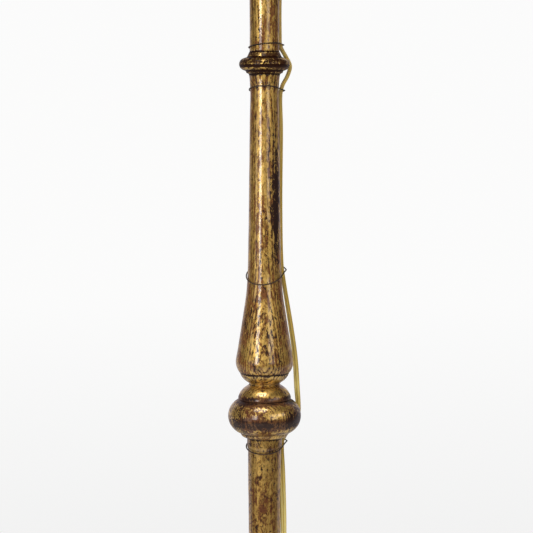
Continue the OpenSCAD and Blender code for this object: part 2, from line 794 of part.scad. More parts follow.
module socket_body() {
    r = liner_r - liner_t - gap;
    color("saddlebrown") difference() {
        translate([0, 0, z_body]) cylinder(r = r, h = body_h);
        translate([0, -r - 1, key_z]) rotate([-90, 0, 0])
            cylinder(r = key_r + play, h = r - key_in + 1.5 + play);
    }
}

module screw_shell() {
    color("gold") translate([0, 0, z_screw]) difference() {
        cylinder(r = screw_r, h = z_cap + holder_h - z_screw);
        translate([0, 0, -1]) cylinder(r = screw_r - screw_t, h = holder_h);
    }
}

module centre_contact() {
    color("silver") translate([0, 0, z_screw]) union() {
        cylinder(r = 6, h = 0.8);
        cylinder(r = 3.5, h = contact_h);
    }
}

module switch_key() {
    color("black") translate([0, -key_in, key_z]) rotate([90, 0, 0]) union() {
        cylinder(r = key_r, h = key_out - key_in + 1);
        translate([0, 0, key_out - key_in]) turned([[knob_r - 1, 0], [knob_r, 1], [knob_r - 0.6, knob_l - 1],
            [knob_r - 1.6, knob_l]]);
        translate([-knob_r - 1.5, -1.4, key_out - key_in + 3]) cube([2 * knob_r + 3, 2.8, knob_l - 4]);
    }
}

// ---- bulb ----

module bulb_base() {
    r = bulb_base_d / 2;
    b = base_h;
    color("silver") translate([0, 0, z_bulb]) rotate_extrude() polygon([[0, 0], [4, 0], [4.5, 0.8],
        [r - 2, tip_h], [r, tip_h + 1], [r, tip_h + b], [r - 0.6, tip_h + b], [r - 0.6, tip_h + 2],
        [0, tip_h + 2]]);
}

// Outline of the glass, d in from its outer side, from its neck to its top
function glass_side(d) = let (r = bulb_d / 2, n = glass_neck_r, h = bulb_h, c = h - r)
    concat(smooth([[n - d, 0], [n - d, 8], [n + 2 - d, h * 0.2], [n + (r - n) * 0.55 - d, h * 0.36],
        [(r - d) * cos(-14), c + (r - d) * sin(-14)]], 4), arc([0, c], r - d, 0, 90, 12));

module bulb_glass() {
    outer = glass_side(0);
    inner = glass_side(glass_t);
    n = len(outer) - 1;
    color("white", 0.6) translate([0, 0, z_glass - 6]) rotate_extrude()
        polygon(concat(outer, [for (i = [n : -1 : 0]) inner[i]]));
}

module bulb_stem() {
    color("lightgray") translate([0, 0, z_bulb + tip_h + 2]) union() {
        cylinder(r = glass_neck_r - glass_t - gap, h = 3);
        cylinder(r = 3.5, h = 24);
        translate([0, 0, 23]) cylinder(r = 0.8, h = 18);
        for (s = [-1, 1]) translate([s * 2, 0, 23]) rotate([0, s * 34, 0]) cylinder(r = 0.6, h = 24);
    }
}

// ---- shade ----

// Radius of the shade's outer side at a height over its bottom edge
function shade_r(z) = shade_bottom_d / 2 + (shade_top_d - shade_bottom_d) / 2 * z / shade_h;
// How far the skin's wall reaches along a level line
shade_wall = shade_t / cos(atan((shade_bottom_d - shade_top_d) / 2 / shade_h));
ring_side = shade_wall + ring_d / 2 * 1.1 + gap;
ring_top_r = shade_r(z_ring_top - z_shade) - ring_side;
ring_bottom_r = shade_r(z_ring_bottom - z_shade) - ring_side;

module shade_skin() {
    a = shade_bottom_d / 2;
    b = shade_top_d / 2;
    color("ivory") translate([0, 0, z_shade]) rotate_extrude()
        polygon([[a - shade_wall, 0], [a, 0], [b, shade_h], [b - shade_wall, shade_h]]);
}

module shade_top_ring() {
    rise = z_ring_top - z_washer - spider_t / 2;
    run = ring_top_r - washer_r + 2;
    color("gold") union() {
        translate([0, 0, z_ring_top]) rotate_extrude() translate([ring_top_r, 0]) circle(d = ring_d);
        translate([0, 0, z_washer]) difference() {
            cylinder(r = washer_r, h = spider_t);
            translate([0, 0, -1]) cylinder(r = post_top_r + play + 0.2, h = spider_t + 2);
        }
        for (a = [90, 210, 330]) rotate([0, 0, a]) translate([washer_r - 2, 0, z_washer + spider_t / 2])
            rotate([0, atan2(run, rise), 0]) cylinder(d = ring_d * 0.8, h = norm([run, rise]));
    }
}

module shade_bottom_ring() {
    color("gold") translate([0, 0, z_ring_bottom])
        rotate_extrude() translate([ring_bottom_r, 0]) circle(d = ring_d);
}

module shade_trims() {
    t = trim_t;
    color("tan") translate([0, 0, z_shade]) for (z = [0, shade_h - trim_h]) rotate_extrude()
        polygon([[shade_r(z) + 0.05, z], [shade_r(z) + t, z], [shade_r(z + trim_h) + t, z + trim_h],
            [shade_r(z + trim_h) + 0.05, z + trim_h]]);
}

module finial() {
    color("gold") translate([0, 0, z_finial]) difference() {
        turned(concat([[8, 0], [8, 2], [5.5, 3.5]], smooth([[4.6, 5], [4.4, 7], [6, 9.4]], 3),
            arc([0, 18], 9.5, -50, 60, 16), [[2.6, 27.4], [3.2, 29], [2, 31.6], [0.5, 33]]));
        translate([0, 0, -1]) cylinder(r = post_top_r + play, h = stud_h + 10);
    }
}

// ---- lead ----

module cord_bushing() {
    l = bushing_l;
    color("saddlebrown") at_outlet() difference() {
        turned([[bushing_tip_r, 0], [bushing_tip_r + 0.3, l / 3], [bushing_r - 0.1, l / 2],
            [bushing_r - 0.1, l]]);
        translate([0, 0, -1]) cylinder(r = lead_r + gap, h = l + 2);
    }
}

outlet_out = [cos(outlet_turn), sin(outlet_turn), 0];
outlet_up = [0, 0, cos(outlet_lean)] - outlet_out * sin(outlet_lean);

// From the bushing's tip, up the slanting bore and the pipe, to the lampholder
module inner_lead() {
    tip = outlet_r * outlet_out + [0, 0, z_capital + outlet_h];
    p = smooth([tip, tip + 15 * outlet_up, tip + 32 * outlet_up,
        5.4 * outlet_out + [0, 0, z_top - 17.2], 1.6 * outlet_out + [0, 0, z_top - 12.5],
        [0, 0, z_top - 6], [0, 0, z_top + 20], [0, 0, z_body]], 3);
    side = [-sin(outlet_turn), cos(outlet_turn), 0];
    color("khaki") tube([for (i = [0 : len(p) - 1])
        ring(p[i], side, i == 0 ? outlet_up : along(p, i), circle_section(lead_r, 8))]);
}

function polar(q) = [q[0] * cos(q[1]), q[0] * sin(q[1]), q[2], q[3]];
route = concat([for (q = column_route) polar(q)], floor_route);

module cord_run() {
    p = smooth(route, 2);
    line = [for (q = p) [q[0], q[1], q[2]]];
    color("goldenrod") tube([for (i = [0 : len(p) - 1])
        let (t = i == 0 ? -outlet_up : along(line, i), side = unit([-p[i][1], p[i][0], 0]),
            w = unit(side - (side * t) * t), v = cross(t, w))
        ring(line[i], w * cos(p[i][3]) - v * sin(p[i][3]), t, flat_section(cord_w, cord_t))]);
}

// The coil starts on its east side, winds in on the floor, climbs a layer in
// the half turn at its inside, winds out again and leaves straight for the plug
function coil_point(u) =
    let (n = coil_turns, m = n + 0.5,
        r = u < n ? coil_r - coil_pitch * u : u < m ? coil_r - coil_pitch * (n + sin(360 * (u - n)))
            : coil_r - coil_pitch * (n - u + m),
        z = coil_z + layer_pitch * (u < n ? 0 : u < m ? (1 - cos(360 * (u - n))) / 2 : 1))
    [coil_c[0] + r * cos(360 * u), coil_c[1] + r * sin(360 * u), z];
coil_end = 2 * coil_turns + 1 + coil_exit / 360;
steps = ceil(coil_end * rings);
wound = [for (i = [0 : steps]) coil_point(coil_end * i / steps)];
tail_dir = unit(wound[steps] - wound[steps - 1]);
tail_start = wound[steps];
// The tail sinks to the plug's height on its straight way out
tail = [for (s = [0, 0.5, 1]) tail_start + tail_dir * coil_tail * (1 + 2 * s)
    + [0, 0, (plug_z - tail_start[2]) * s]];
plug_start = tail[2] + tail_dir * cord_w;
coil_line = concat([for (s = [1, 0.5]) wound[0] - [0, coil_lead_in * s, 0]], wound, tail,
    [[plug_start[0], plug_start[1], plug_z]]);
coil_gap = min([for (i = [0 : 2 : len(coil_line) - 1], j = [i + rings / 2 : len(coil_line) - 1])
    let (d = coil_line[i] - coil_line[j], flat = norm([d[0], d[1]]))
    max(flat - cord_t, abs(d[2]) - cord_w)]);
echo(coil_gap = coil_gap);
coil_section = [[cord_t / 2, 0], [cord_t * 0.3, cord_w / 2], [-cord_t * 0.3, cord_w / 2],
    [-cord_t / 2, 0], [-cord_t * 0.3, -cord_w / 2], [cord_t * 0.3, -cord_w / 2]];

module cord_coil() {
    n = len(coil_line);
    color("goldenrod") tube([for (i = [0 : n - 1])
        let (t = i == 0 ? [0, 1, 0] : i == n - 1 ? tail_dir : along(coil_line, i), w = unit([-t[1], t[0], 0]))
        ring(coil_line[i], w, t, coil_section)]);
}

// Flat strap closed round all the turns at one side of the coil
module coil_tie() {
    r0 = coil_r - coil_pitch * coil_turns - cord_t;
    r1 = coil_r + cord_t;
    h = coil_z + layer_pitch + cord_w / 2 + 1.4;
    color("saddlebrown") translate([coil_c[0], coil_c[1], 0]) rotate([0, 0, 270]) rotate([90, 0, 0])
        translate([0, 0, -4]) linear_extrude(8) difference() {
            translate([r0 - 1, 0]) square([r1 - r0 + 2, h]);
            translate([r0, 0.2]) square([r1 - r0, h - 1.2]);
        }
}

module at_plug() {
    translate([plug_start[0], plug_start[1], plug_z])
        rotate([0, 0, atan2(tail_dir[1], tail_dir[0])]) children();
}

module plug_body() {
    w = plug_w / 2;
    t = plug_t / 2;
    l = plug_tail_l;
    color("saddlebrown") at_plug() difference() {
        union() {
            rotate([0, 90, 0]) cylinder(r1 = 4.2, r2 = 6.5, h = l + 1);
            intersection() {
                translate([l, -w, -t]) cube([plug_l, 2 * w, 2 * t]);
                translate([l, 0, 0]) rotate([0, 90, 0]) union() {
                    cylinder(r1 = 8, r2 = w + 1, h = 10);
                    translate([0, 0, 10]) cylinder(r = w + 1, h = plug_l - 10);
                }
            }
        }
        for (s = [-1, 1]) translate([l + plug_l - blade_in, s * blade_apart / 2 - blade_t / 2, -blade_w / 2])
            cube([blade_in + 1, blade_t, blade_w]);
    }
}

module plug_blades() {
    color("gold") at_plug() for (s = [-1, 1])
        translate([plug_tail_l + plug_l - blade_in, s * blade_apart / 2 - blade_t / 2, -blade_w / 2])
            cube([blade_in + blade_l, blade_t, blade_w]);
}

// Distance of a turning's surface from the axis, at a height over its foot
function reach(side, z) = lookup(z, [for (q = side) [q[1], q[0]]]);

// Distance of a tie's wire from the axis, d degrees from the lead's side: round
// the column, then in straight lines over the corners of the lead
function tie_r(d, r, lead) =
    let (y = cord_w / 2 + 2 * tie_gap, x = lead + cord_t / 2 + tie_wire_d / 2 + tie_gap,
        c = norm([x, y]), g = atan(y / x), b = acos(r / c))
    d < g ? x / cos(d) : d < g + b ? r / cos(g + b - d) : r;

// A tie's loop: z up the turning whose foot is at foot and whose outline is side,
// tilted by tilt with its highest point at high, over the lead at its distance
// and side of the column
module wire_tie(foot, side, z, tilt, high, lead, lead_side) {
    n = tie_rings;
    r = max(reach(side, z - tilt), reach(side, z + tilt)) + tie_wire_d / 2 + tie_gap;
    p = [for (i = [0 : n - 1])
        let (d = 180 - 360 * i / n, a = lead_side + d, q = tie_r(abs(d), r, lead))
        [q * cos(a), q * sin(a), foot + z + tilt * cos(a - high)]];
    tube([for (i = [0 : n - 1])
        ring(p[i], [0, 0, 1], along(p, i, true), circle_section(tie_wire_d / 2, 6))], closed = true);
}

module wire_ties() {
    color("black") {
        wire_tie(z_upper, upper_side(), 96, 2, 200, 22.2, 26);
        wire_tie(z_upper, upper_side(), 6.5, 2.6, 314, 19.8, 27);
        wire_tie(z_vase, vase_side(), vase_h - 16.5, 4, 270, 20.2, 22);
        wire_tie(z_vase, vase_side(), vase_h / 3, 10, 78, 22.2, 21.5);
        wire_tie(z_lower, lower_side(), lower_shaft_h - 10.4, 6, 82, 25, 31);
        wire_tie(z_lower, lower_side(), 140, 3, 250, 20.2, 22);
        wire_tie(z_lower, lower_side(), 52, 3, 120, 21.5, 27);
    }
}

// ---- the lamp ----

felt_pads();
bun_foot(0);  // bun_foot_1
bun_foot(1);  // bun_foot_2
bun_foot(2);  // bun_foot_3
foot_screws();
base_plinth();
ballast();
ballast_bolt();
ballast_washer();
base_cover();
cover_screws();
base_dome();
pedestal();
pedestal_dowel();
lower_shaft();
knop();
knop_dowel();
cushion_ring();
vase_shaft();
collar();
collar_dowel();
upper_shaft();
capital_dowel();
capital();
fixing_plate();
plate_screws();
drip_pan();
neck_spindle();
lamp_pipe();
harp_saddle();
harp();
harp_stud();
harp_sleeve_left();
harp_sleeve_right();
socket_cap();
socket_shell();
socket_liner();
socket_body();
screw_shell();
centre_contact();
switch_key();
bulb_base();
bulb_glass();
bulb_stem();
shade_skin();
shade_top_ring();
shade_bottom_ring();
shade_trims();
finial();
cord_bushing();
inner_lead();
cord_run();
cord_coil();
coil_tie();
plug_body();
plug_blades();
wire_ties();
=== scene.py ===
# Candlestick floor lamp: a turned, gilded and worn wooden column with brass fittings, a cloth
# shade and a flat gold lead tied down the outside. Metres, +Z up, the front is towards -Y.
import math

import bmesh
import bpy
import numpy as np
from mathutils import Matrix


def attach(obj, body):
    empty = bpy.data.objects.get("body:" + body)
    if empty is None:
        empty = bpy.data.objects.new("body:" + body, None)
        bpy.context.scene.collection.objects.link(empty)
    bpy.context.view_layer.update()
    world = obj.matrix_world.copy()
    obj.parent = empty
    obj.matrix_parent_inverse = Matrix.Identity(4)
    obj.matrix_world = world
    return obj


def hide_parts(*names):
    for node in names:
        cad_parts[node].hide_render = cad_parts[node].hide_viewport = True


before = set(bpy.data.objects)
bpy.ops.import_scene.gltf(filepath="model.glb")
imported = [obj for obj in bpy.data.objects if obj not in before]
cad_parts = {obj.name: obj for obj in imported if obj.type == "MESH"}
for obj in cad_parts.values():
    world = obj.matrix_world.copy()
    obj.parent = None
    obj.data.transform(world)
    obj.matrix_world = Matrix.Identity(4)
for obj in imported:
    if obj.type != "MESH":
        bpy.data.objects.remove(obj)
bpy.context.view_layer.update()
mm = 0.001
full_turn = 2 * math.pi

# ---- the studio ----
# A pale floor and a pale background, with six soft panels in front: two on the left, whose
# reflection is the bright stripe down the column, one on the right, one high up and two that fill
# in. The camera stands at the photograph's place, near the long shaft's top, and looks a little down.
look_down = 5.418
camera = bpy.data.objects.new("camera", bpy.data.cameras.new("camera"))
bpy.context.scene.collection.objects.link(camera)
camera.location = (0.0022, -1.833, 1.03)
camera.rotation_euler = (math.radians(90 - look_down), 0, 0)
camera.data.sensor_width = 36
camera.data.lens = 111.44
bpy.context.scene.camera = camera
bpy.context.scene.view_settings.view_transform = "Standard"


def soft_panel(name, azimuth, distance, height, towards, width, tall, watts, colour):
    """A soft light panel at an azimuth in degrees from the front (-Y) towards +X, a distance from
    the column's axis and a height, which faces the axis at the height `towards`."""
    light = bpy.data.lights.new(name, "AREA")
    light.shape = "RECTANGLE"
    light.size = width
    light.size_y = tall
    light.energy = watts
    light.color = colour
    panel = bpy.data.objects.new(name, light)
    a = math.radians(azimuth)
    panel.location = (distance * math.sin(a), -distance * math.cos(a), height)
    panel.rotation_euler = (math.pi / 2 - math.atan2(height - towards, distance), 0, a)
    bpy.context.scene.collection.objects.link(panel)


soft_panel("left_panel", -31, 2.2, 1.0, 1.0, 0.6, 0.62, 10, (1, 0.99, 0.99))
soft_panel("left_upper", -31, 2.2, 1.5, 1.5, 0.8, 0.44, 7.5, (1, 0.98, 0.97))
soft_panel("right_panel", 29, 2.6, 1.6, 1.6, 1.1, 1.55, 11, (1, 0.97, 0.95))
soft_panel("high_panel", -22, 1.15, 2.9, 0.9, 1.4, 1.0, 30, (1, 0.98, 0.95))
soft_panel("low_fill", -55, 2.6, 0.62, 0.62, 1.4, 1.0, 4, (1, 0.97, 0.93))
soft_panel("right_high", 58, 2.4, 1.8, 1.8, 1.2, 0.8, 8, (1, 0.97, 0.95))


def wire(tree, node, wires):
    """Gives a node's inputs their values, or links them to other nodes' outputs."""
    for key, value in wires.items():
        if isinstance(value, bpy.types.NodeSocket):
            tree.links.new(value, node.inputs[key])
        else:
            node.inputs[key].default_value = value


def add(tree, kind, wires=None, **settings):
    """A new shader node, with its inputs wired."""
    made = tree.nodes.new("ShaderNode" + kind)
    for key, value in settings.items():
        setattr(made, key, value)
    wire(tree, made, wires or {})
    return made


def maths(tree, way, a, b=0.0, c=0.0):
    return add(tree, "Math", {0: a, 1: b, 2: c}, operation=way).outputs[0]


def blend(tree, share, a, b):
    """From the colour a to the colour b, by a share from 0 to 1."""
    return add(tree, "Mix", {"Factor": share, 6: a, 7: b}, data_type="RGBA").outputs[2]


def steps(tree, value, low, high):
    """0 below low, 1 above high, with an eased rise between them."""
    return add(tree, "MapRange", {"Value": value, "From Min": low, "From Max": high},
               interpolation_type="SMOOTHSTEP").outputs["Result"]


def ramp(tree, value, stops):
    """Turns a value into a colour through stops of (place, colour)."""
    made = add(tree, "ValToRGB", {"Fac": value})
    while len(made.color_ramp.elements) < len(stops):
        made.color_ramp.elements.new(0.5)
    for mark, (place, colour) in zip(made.color_ramp.elements, stops):
        mark.position = place
        mark.color = (*colour, 1)
    return made.outputs["Color"]


def new_finish(name):
    """A new material, with its tree and its shader."""
    made = bpy.data.materials.new(name)
    made.use_nodes = True
    return made, made.node_tree, made.node_tree.nodes["Principled BSDF"]


def object_place(tree):
    return add(tree, "TexCoord").outputs["Object"]


# What the camera sees is near white, a little greyer low down. Gloss sees a dark room in front of
# the lamp and the pale wall behind it, and rough surfaces get a dim, even light, brighter behind.
room = bpy.data.worlds.new("room")
bpy.context.scene.world = room
room.use_nodes = True
t = room.node_tree
t.nodes.clear()
way = add(t, "TexCoord").outputs["Generated"]
way = add(t, "SeparateXYZ", {"Vector": way}).outputs
behind = maths(t, "MULTIPLY_ADD", maths(t, "MINIMUM", way["Z"], 0.0), -1.6, way["Y"])
wall = ramp(t, behind, [(0.0, (0.02, 0.014, 0.012)), (0.47, (0.03, 0.02, 0.016)),
                        (0.78, (0.66, 0.62, 0.68))])
plain = ramp(t, maths(t, "ADD", way["Z"], 0.5), [(0.25, (0.89, 0.89, 0.888)),
                                                 (0.385, (0.967, 0.967, 0.965))])
soft = ramp(t, way["Y"], [(0.25, (0.24, 0.233, 0.226)), (0.95, (0.72, 0.71, 0.70))])
ray = add(t, "LightPath").outputs
seen = maths(t, "MAXIMUM", ray["Is Camera Ray"], ray["Is Transmission Ray"])
light = blend(t, seen, blend(t, ray["Is Glossy Ray"], soft, wall), plain)
back = add(t, "Background", {"Color": light, "Strength": 1.0}).outputs[0]
add(t, "OutputWorld", {"Surface": back})


def even_angles(count):
    """Angles at even steps once round."""
    return np.arange(count) * full_turn / count


def polar(r, a, *more):
    """Rows of x = r cos a and y = r sin a, and any more columns."""
    return np.column_stack([r * np.cos(a), r * np.sin(a), *more])


# The floor is a disc that fades into the background towards its edge.
floor_r, floor_sides, fade_from = 1.75, 96, 0.55
a = even_angles(floor_sides)
floor_edge = polar(floor_r, a, 0 * a)
floor_mesh = bpy.data.meshes.new("floor")
floor_mesh.from_pydata(floor_edge.tolist(), [], [list(range(floor_sides))])
floor = bpy.data.objects.new("floor", floor_mesh)
bpy.context.scene.collection.objects.link(floor)
pale_floor, t, skin = new_finish("pale_floor")
wire(t, skin, {"Base Color": (0.82, 0.818, 0.81, 1), "Roughness": 0.9})
far = add(t, "VectorMath", {0: object_place(t)}, operation="LENGTH").outputs["Value"]
glow = add(t, "Emission", {"Color": (0.90, 0.90, 0.898, 1), "Strength": 1.0})
camera_ray = add(t, "LightPath").outputs["Is Camera Ray"]
fade = maths(t, "MULTIPLY", steps(t, far, fade_from, floor_r - 0.05), camera_ray)
both = add(t, "MixShader", {0: fade, 1: skin.outputs[0], 2: glow.outputs[0]})
t.links.new(both.outputs[0], t.nodes["Material Output"].inputs["Surface"])
floor_mesh.materials.append(pale_floor)

# ---- the gilding ----
# Turned hardwood, coated with red-brown bole and then gold leaf, and varnished. The leaf has
# rubbed thin along the grain, so that bole shows through, and dirt sits in pits and grooves. The
# same dark colour also paints shade into recesses and under rims, so the dark share is dirt and painted
# shade.


def new_group(name, inputs, outputs):
    """An empty node group with named sockets: (name, kind, value) for each input, and (name, kind)
    for each output. Returns its tree, its input node and its output node."""
    tree = bpy.data.node_groups.new(name, "ShaderNodeTree")
    for label, kind, value in inputs:
        socket = tree.interface.new_socket(label, in_out="INPUT", socket_type="NodeSocket" + kind)
        socket.default_value = value
    for label, kind in outputs:
        tree.interface.new_socket(label, in_out="OUTPUT", socket_type="NodeSocket" + kind)
    return tree, tree.nodes.new("NodeGroupInput"), tree.nodes.new("NodeGroupOutput")


def noise(tree, where, scale, detail, rough, bend=0.0):
    return add(tree, "TexNoise", {"Vector": where, "Scale": scale, "Detail": detail,
               "Roughness": rough, "Distortion": bend}).outputs["Fac"]


def total(tree, *terms, start=0.0):
    """The sum of start and of terms of (value, factor), each multiplied by its factor."""
    made = start
    for value, factor in terms:
        made = maths(tree, "MULTIPLY_ADD", value, factor, made)
    return made


def vectors(tree, way, a, b):
    return add(tree, "VectorMath", {0: a, 1: b}, operation=way).outputs[0]


def mapped(tree, where, **change):
    """A place moved, turned and stretched."""
    change = {key.title(): value for key, value in change.items()}
    return add(tree, "Mapping", {"Vector": where, **change}).outputs[0]


def bump(tree, height, strength, distance):
    made = add(tree, "Bump", {"Height": height, "Strength": strength, "Distance": distance})
    return made.outputs[0]


def attribute(tree, name):
    return add(tree, "Attribute", attribute_name=name).outputs["Fac"]


# Streaks and blots are noise stretched along the turning. The grain is the wood's year rings:
# circles about a pith in front of the axis, which a widening surface cuts in pointed arches.
gilding, put_in, put_out = new_group("gilding", [
    ("Leaf", "Color", (0.6, 0.4, 0.13, 1)), ("Old Leaf", "Color", (0.3, 0.17, 0.05, 1)),
    ("Bole", "Color", (0.12, 0.05, 0.02, 1)), ("Dirt And Shade", "Color", (0.022, 0.006, 0.002, 1)),
    ("Wear", "Float", 0.5), ("Soiling", "Float", 0.5), ("Grain", "Float", 0.5), ("Stretch", "Float", 0.4),
    ("Fineness", "Float", 1.0), ("Groove", "Float", 0.0), ("Rubbed", "Float", 0.0)],
    [("Color", "Color"), ("Metal", "Float"), ("Rough", "Float"), ("Height", "Float"), ("Varnish", "Float")])
t, given = gilding, put_in.outputs
here = object_place(t)
long = mapped(t, here, scale=(1, 1, 0.14))
fine = given["Fineness"]
squeezed = maths(t, "MULTIPLY", fine, given["Stretch"])
along = add(t, "CombineXYZ", {"X": fine, "Y": fine, "Z": squeezed})
tall = vectors(t, "MULTIPLY", here, along.outputs[0])
streaks = noise(t, long, 400, 5, 0.62, 0.3)
clouds = noise(t, tall, 44, 4, 0.6, 0.6)
blots = noise(t, tall, 210, 5, 0.7, 1.3)
specks = noise(t, tall, 350, 5, 0.7, 1.0)
patches = noise(t, tall, 15, 3, 0.55, 0.8)
fine_pits = steps(t, noise(t, tall, 560, 2, 0.5, 0.6), 0.66, 0.71)
pits = maths(t, "MAXIMUM", steps(t, noise(t, tall, 230, 2, 0.5, 0.6), 0.69, 0.72), fine_pits)
drift = add(t, "TexNoise", {"Vector": tall, "Scale": 11.0, "Detail": 2.0}).outputs["Color"]
swayed = vectors(t, "ADD", here, vectors(t, "MULTIPLY", drift, (0.012, 0.012, 0)))
pith = mapped(t, swayed, location=(-0.003, 0.044, 0), rotation=(0.010, -0.012, 0), scale=(1, 1, 0.10))
rings = add(t, "TexWave", {"Vector": pith, "Scale": 100.0, "Distortion": 1.2, "Detail": 2.0,
            "Detail Scale": 1.4}, wave_type="RINGS", rings_direction="Z", wave_profile="SAW").outputs["Fac"]
grain = maths(t, "MULTIPLY", steps(t, rings, 0.35, 0.95), steps(t, blots, 0.32, 0.5))
grain = maths(t, "MULTIPLY", grain, given["Grain"])
tone = total(t, (streaks, 0.3), (clouds, 0.3), (blots, 0.4), (grain, 0.09))
gilt = blend(t, steps(t, tone, 0.44, 0.59), given["Leaf"], given["Old Leaf"])
thin = total(t, (streaks, 0.2), (clouds, 0.35), (blots, 0.45), (grain, 0.07),
             (given["Wear"], 0.12), (given["Rubbed"], 0.22))
worn = steps(t, thin, 0.57, 0.66)
# The dark share: dirt in specks, blots and patches, and, through the groove input, painted shade in recesses
# and under rims.
soil_and_shade = total(t, (specks, 0.45), (blots, 0.25), (patches, 0.3), (grain, 0.06),
             (given["Soiling"], 0.14), (given["Groove"], 0.16))
soil_and_shade = maths(t, "MAXIMUM", steps(t, soil_and_shade, 0.595, 0.645), pits)
gilt = blend(t, maths(t, "MULTIPLY", worn, 0.9), gilt, given["Bole"])
gilt = blend(t, soil_and_shade, gilt, given["Dirt And Shade"])
bare = maths(t, "MAXIMUM", maths(t, "MULTIPLY", worn, 0.7), soil_and_shade)
sound = total(t, (steps(t, blots, 0.42, 0.52), 0.65), start=0.35)
wire(t, put_out, {"Color": gilt,
                  "Metal": total(t, (bare, -0.92), start=0.92),
                  "Rough": total(t, (specks, 0.16), (bare, 0.18)),
                  "Height": total(t, (streaks, 0.5), (blots, 0.6), (soil_and_shade, -0.28), (grain, -0.25)),
                  "Varnish": maths(t, "MULTIPLY", sound, total(t, (bare, -0.75), start=1.0))})


def gilt_finish(name, leaf, old_leaf, bole, wear, soiling, grain, stretch, rough, depth=0.25, gloss=0.09,
                varnish=1.0, fine=1.0):
    """A gilt finish: the gilding with this piece's colours and wear, on a varnished metal shader.
    The piece's attributes `groove` and `rubbed` say where its mouldings are darker and more worn: the
    darkening is dirt, and painted shade in recesses and under rims.
    depth is the relief's scale in mm."""
    made, tree, skin = new_finish(name)
    given = {"Leaf": (*leaf, 1), "Old Leaf": (*old_leaf, 1), "Bole": (*bole, 1), "Wear": wear,
             "Soiling": soiling, "Grain": grain, "Stretch": stretch, "Fineness": fine,
             "Groove": attribute(tree, "groove"), "Rubbed": attribute(tree, "rubbed")}
    gilt = add(tree, "Group", given, node_tree=gilding).outputs
    wire(tree, skin, {"Base Color": gilt["Color"], "Metallic": gilt["Metal"],
                      "Roughness": maths(tree, "ADD", gilt["Rough"], rough),
                      "Specular IOR Level": 0.25 * varnish,
                      "Coat Weight": maths(tree, "MULTIPLY", gilt["Varnish"], varnish),
                      "Coat Roughness": gloss, "Coat IOR": 1.7,
                      "Normal": bump(tree, gilt["Height"], 1.0, depth * mm)})
    return made


leaf, old_leaf, bole = (0.78, 0.51, 0.14), (0.26, 0.125, 0.024), (0.10, 0.026, 0.010)
shaft_gold = gilt_finish("shaft_gold", leaf, old_leaf, (0.20, 0.07, 0.02), wear=0.5, soiling=0.24, grain=0.9,
                         stretch=0.5, rough=0.42, gloss=0.07)
old_gold = gilt_finish("old_gold", leaf, old_leaf, bole, wear=0.55, soiling=0.45, grain=0.5, stretch=0.75,
                       rough=0.29)
base_gold = gilt_finish("base_gold", leaf, old_leaf, bole, wear=0.55, soiling=0.38, grain=0.06, stretch=1.0,
                        rough=0.29, fine=0.8)
dull_gold = gilt_finish("dull_gold", (0.66, 0.42, 0.12), (0.28, 0.14, 0.032), (0.10, 0.024, 0.010), wear=0.5,
                        soiling=0.47, grain=0.3, stretch=0.75, rough=0.36, fine=0.8)
dark_gold = gilt_finish("dark_gold", (0.80, 0.52, 0.15), (0.12, 0.045, 0.012), (0.042, 0.013, 0.006),
                        wear=0.85, soiling=0.71, grain=0.2, stretch=1.0, rough=0.24, depth=0.6, gloss=0.15,
                        varnish=0.25)

# ---- felt and base ----
# A round plinth and a stepped dome, faceplate turnings of lime wood, gilded, on three bun feet. A
# pad of green felt is glued under each foot, and a board with green baize closes the weight's recess.
z_foot, z_plinth, z_dome, z_pedestal = 3, 38, 74, 128
base_r, plinth_top_r, plinth_h = 150, 133, 36
dome_r, dome_h, dome_top_r = 121, 54, 60
foot_r, foot_h, foot_circle_r, foot_sides = 32, 35, 116, (90, 210, 330)
near_axis, dowel_hole, tenon_hole, screw_hole = 0.3, 8.1, 20.2, 5.6


def moulded(name, colour, dark, light, rough, coat, fleck=300.0, relief=0.05, metal=0.0):
    """A plain material, mottled: its colour runs from dark to light through fine and broad noise,
    and a fine bump follows."""
    made, tree, skin = new_finish(name)
    here = object_place(tree)
    small = noise(tree, here, fleck, 5, 0.6)
    broad = noise(tree, here, fleck / 9, 3, 0.5)
    mottle = total(tree, (small, 0.6), (broad, 0.4))
    wire(tree, skin, {"Base Color": ramp(tree, mottle, [(0.36, dark), (0.5, colour), (0.66, light)]),
                      "Roughness": total(tree, (small, 0.2), start=rough - 0.1),
                      "Normal": bump(tree, small, relief, 0.3 * mm),
                      "Metallic": metal, "Coat Weight": coat, "Coat Roughness": 0.15})
    return made


def arc_line(centre, radius, start, end, count):
    """Points on a circle's arc, from the angle start to the angle end in degrees."""
    return centre + polar(radius, np.radians(np.linspace(start, end, count + 1)))


def length_along(line):
    """The length of a line of points up to each of them."""
    return np.append(0, np.linalg.norm(np.diff(line, axis=0), axis=1).cumsum())


def even_line(points, gap):
    """The same line with its points about `gap` apart, measured along it."""
    p = np.asarray(points, float)
    way = length_along(p)
    at = np.linspace(0, way[-1], max(int(way[-1] / gap), 2) + 1)
    return np.column_stack([np.interp(at, way, p[:, k]) for k in range(p.shape[1])])


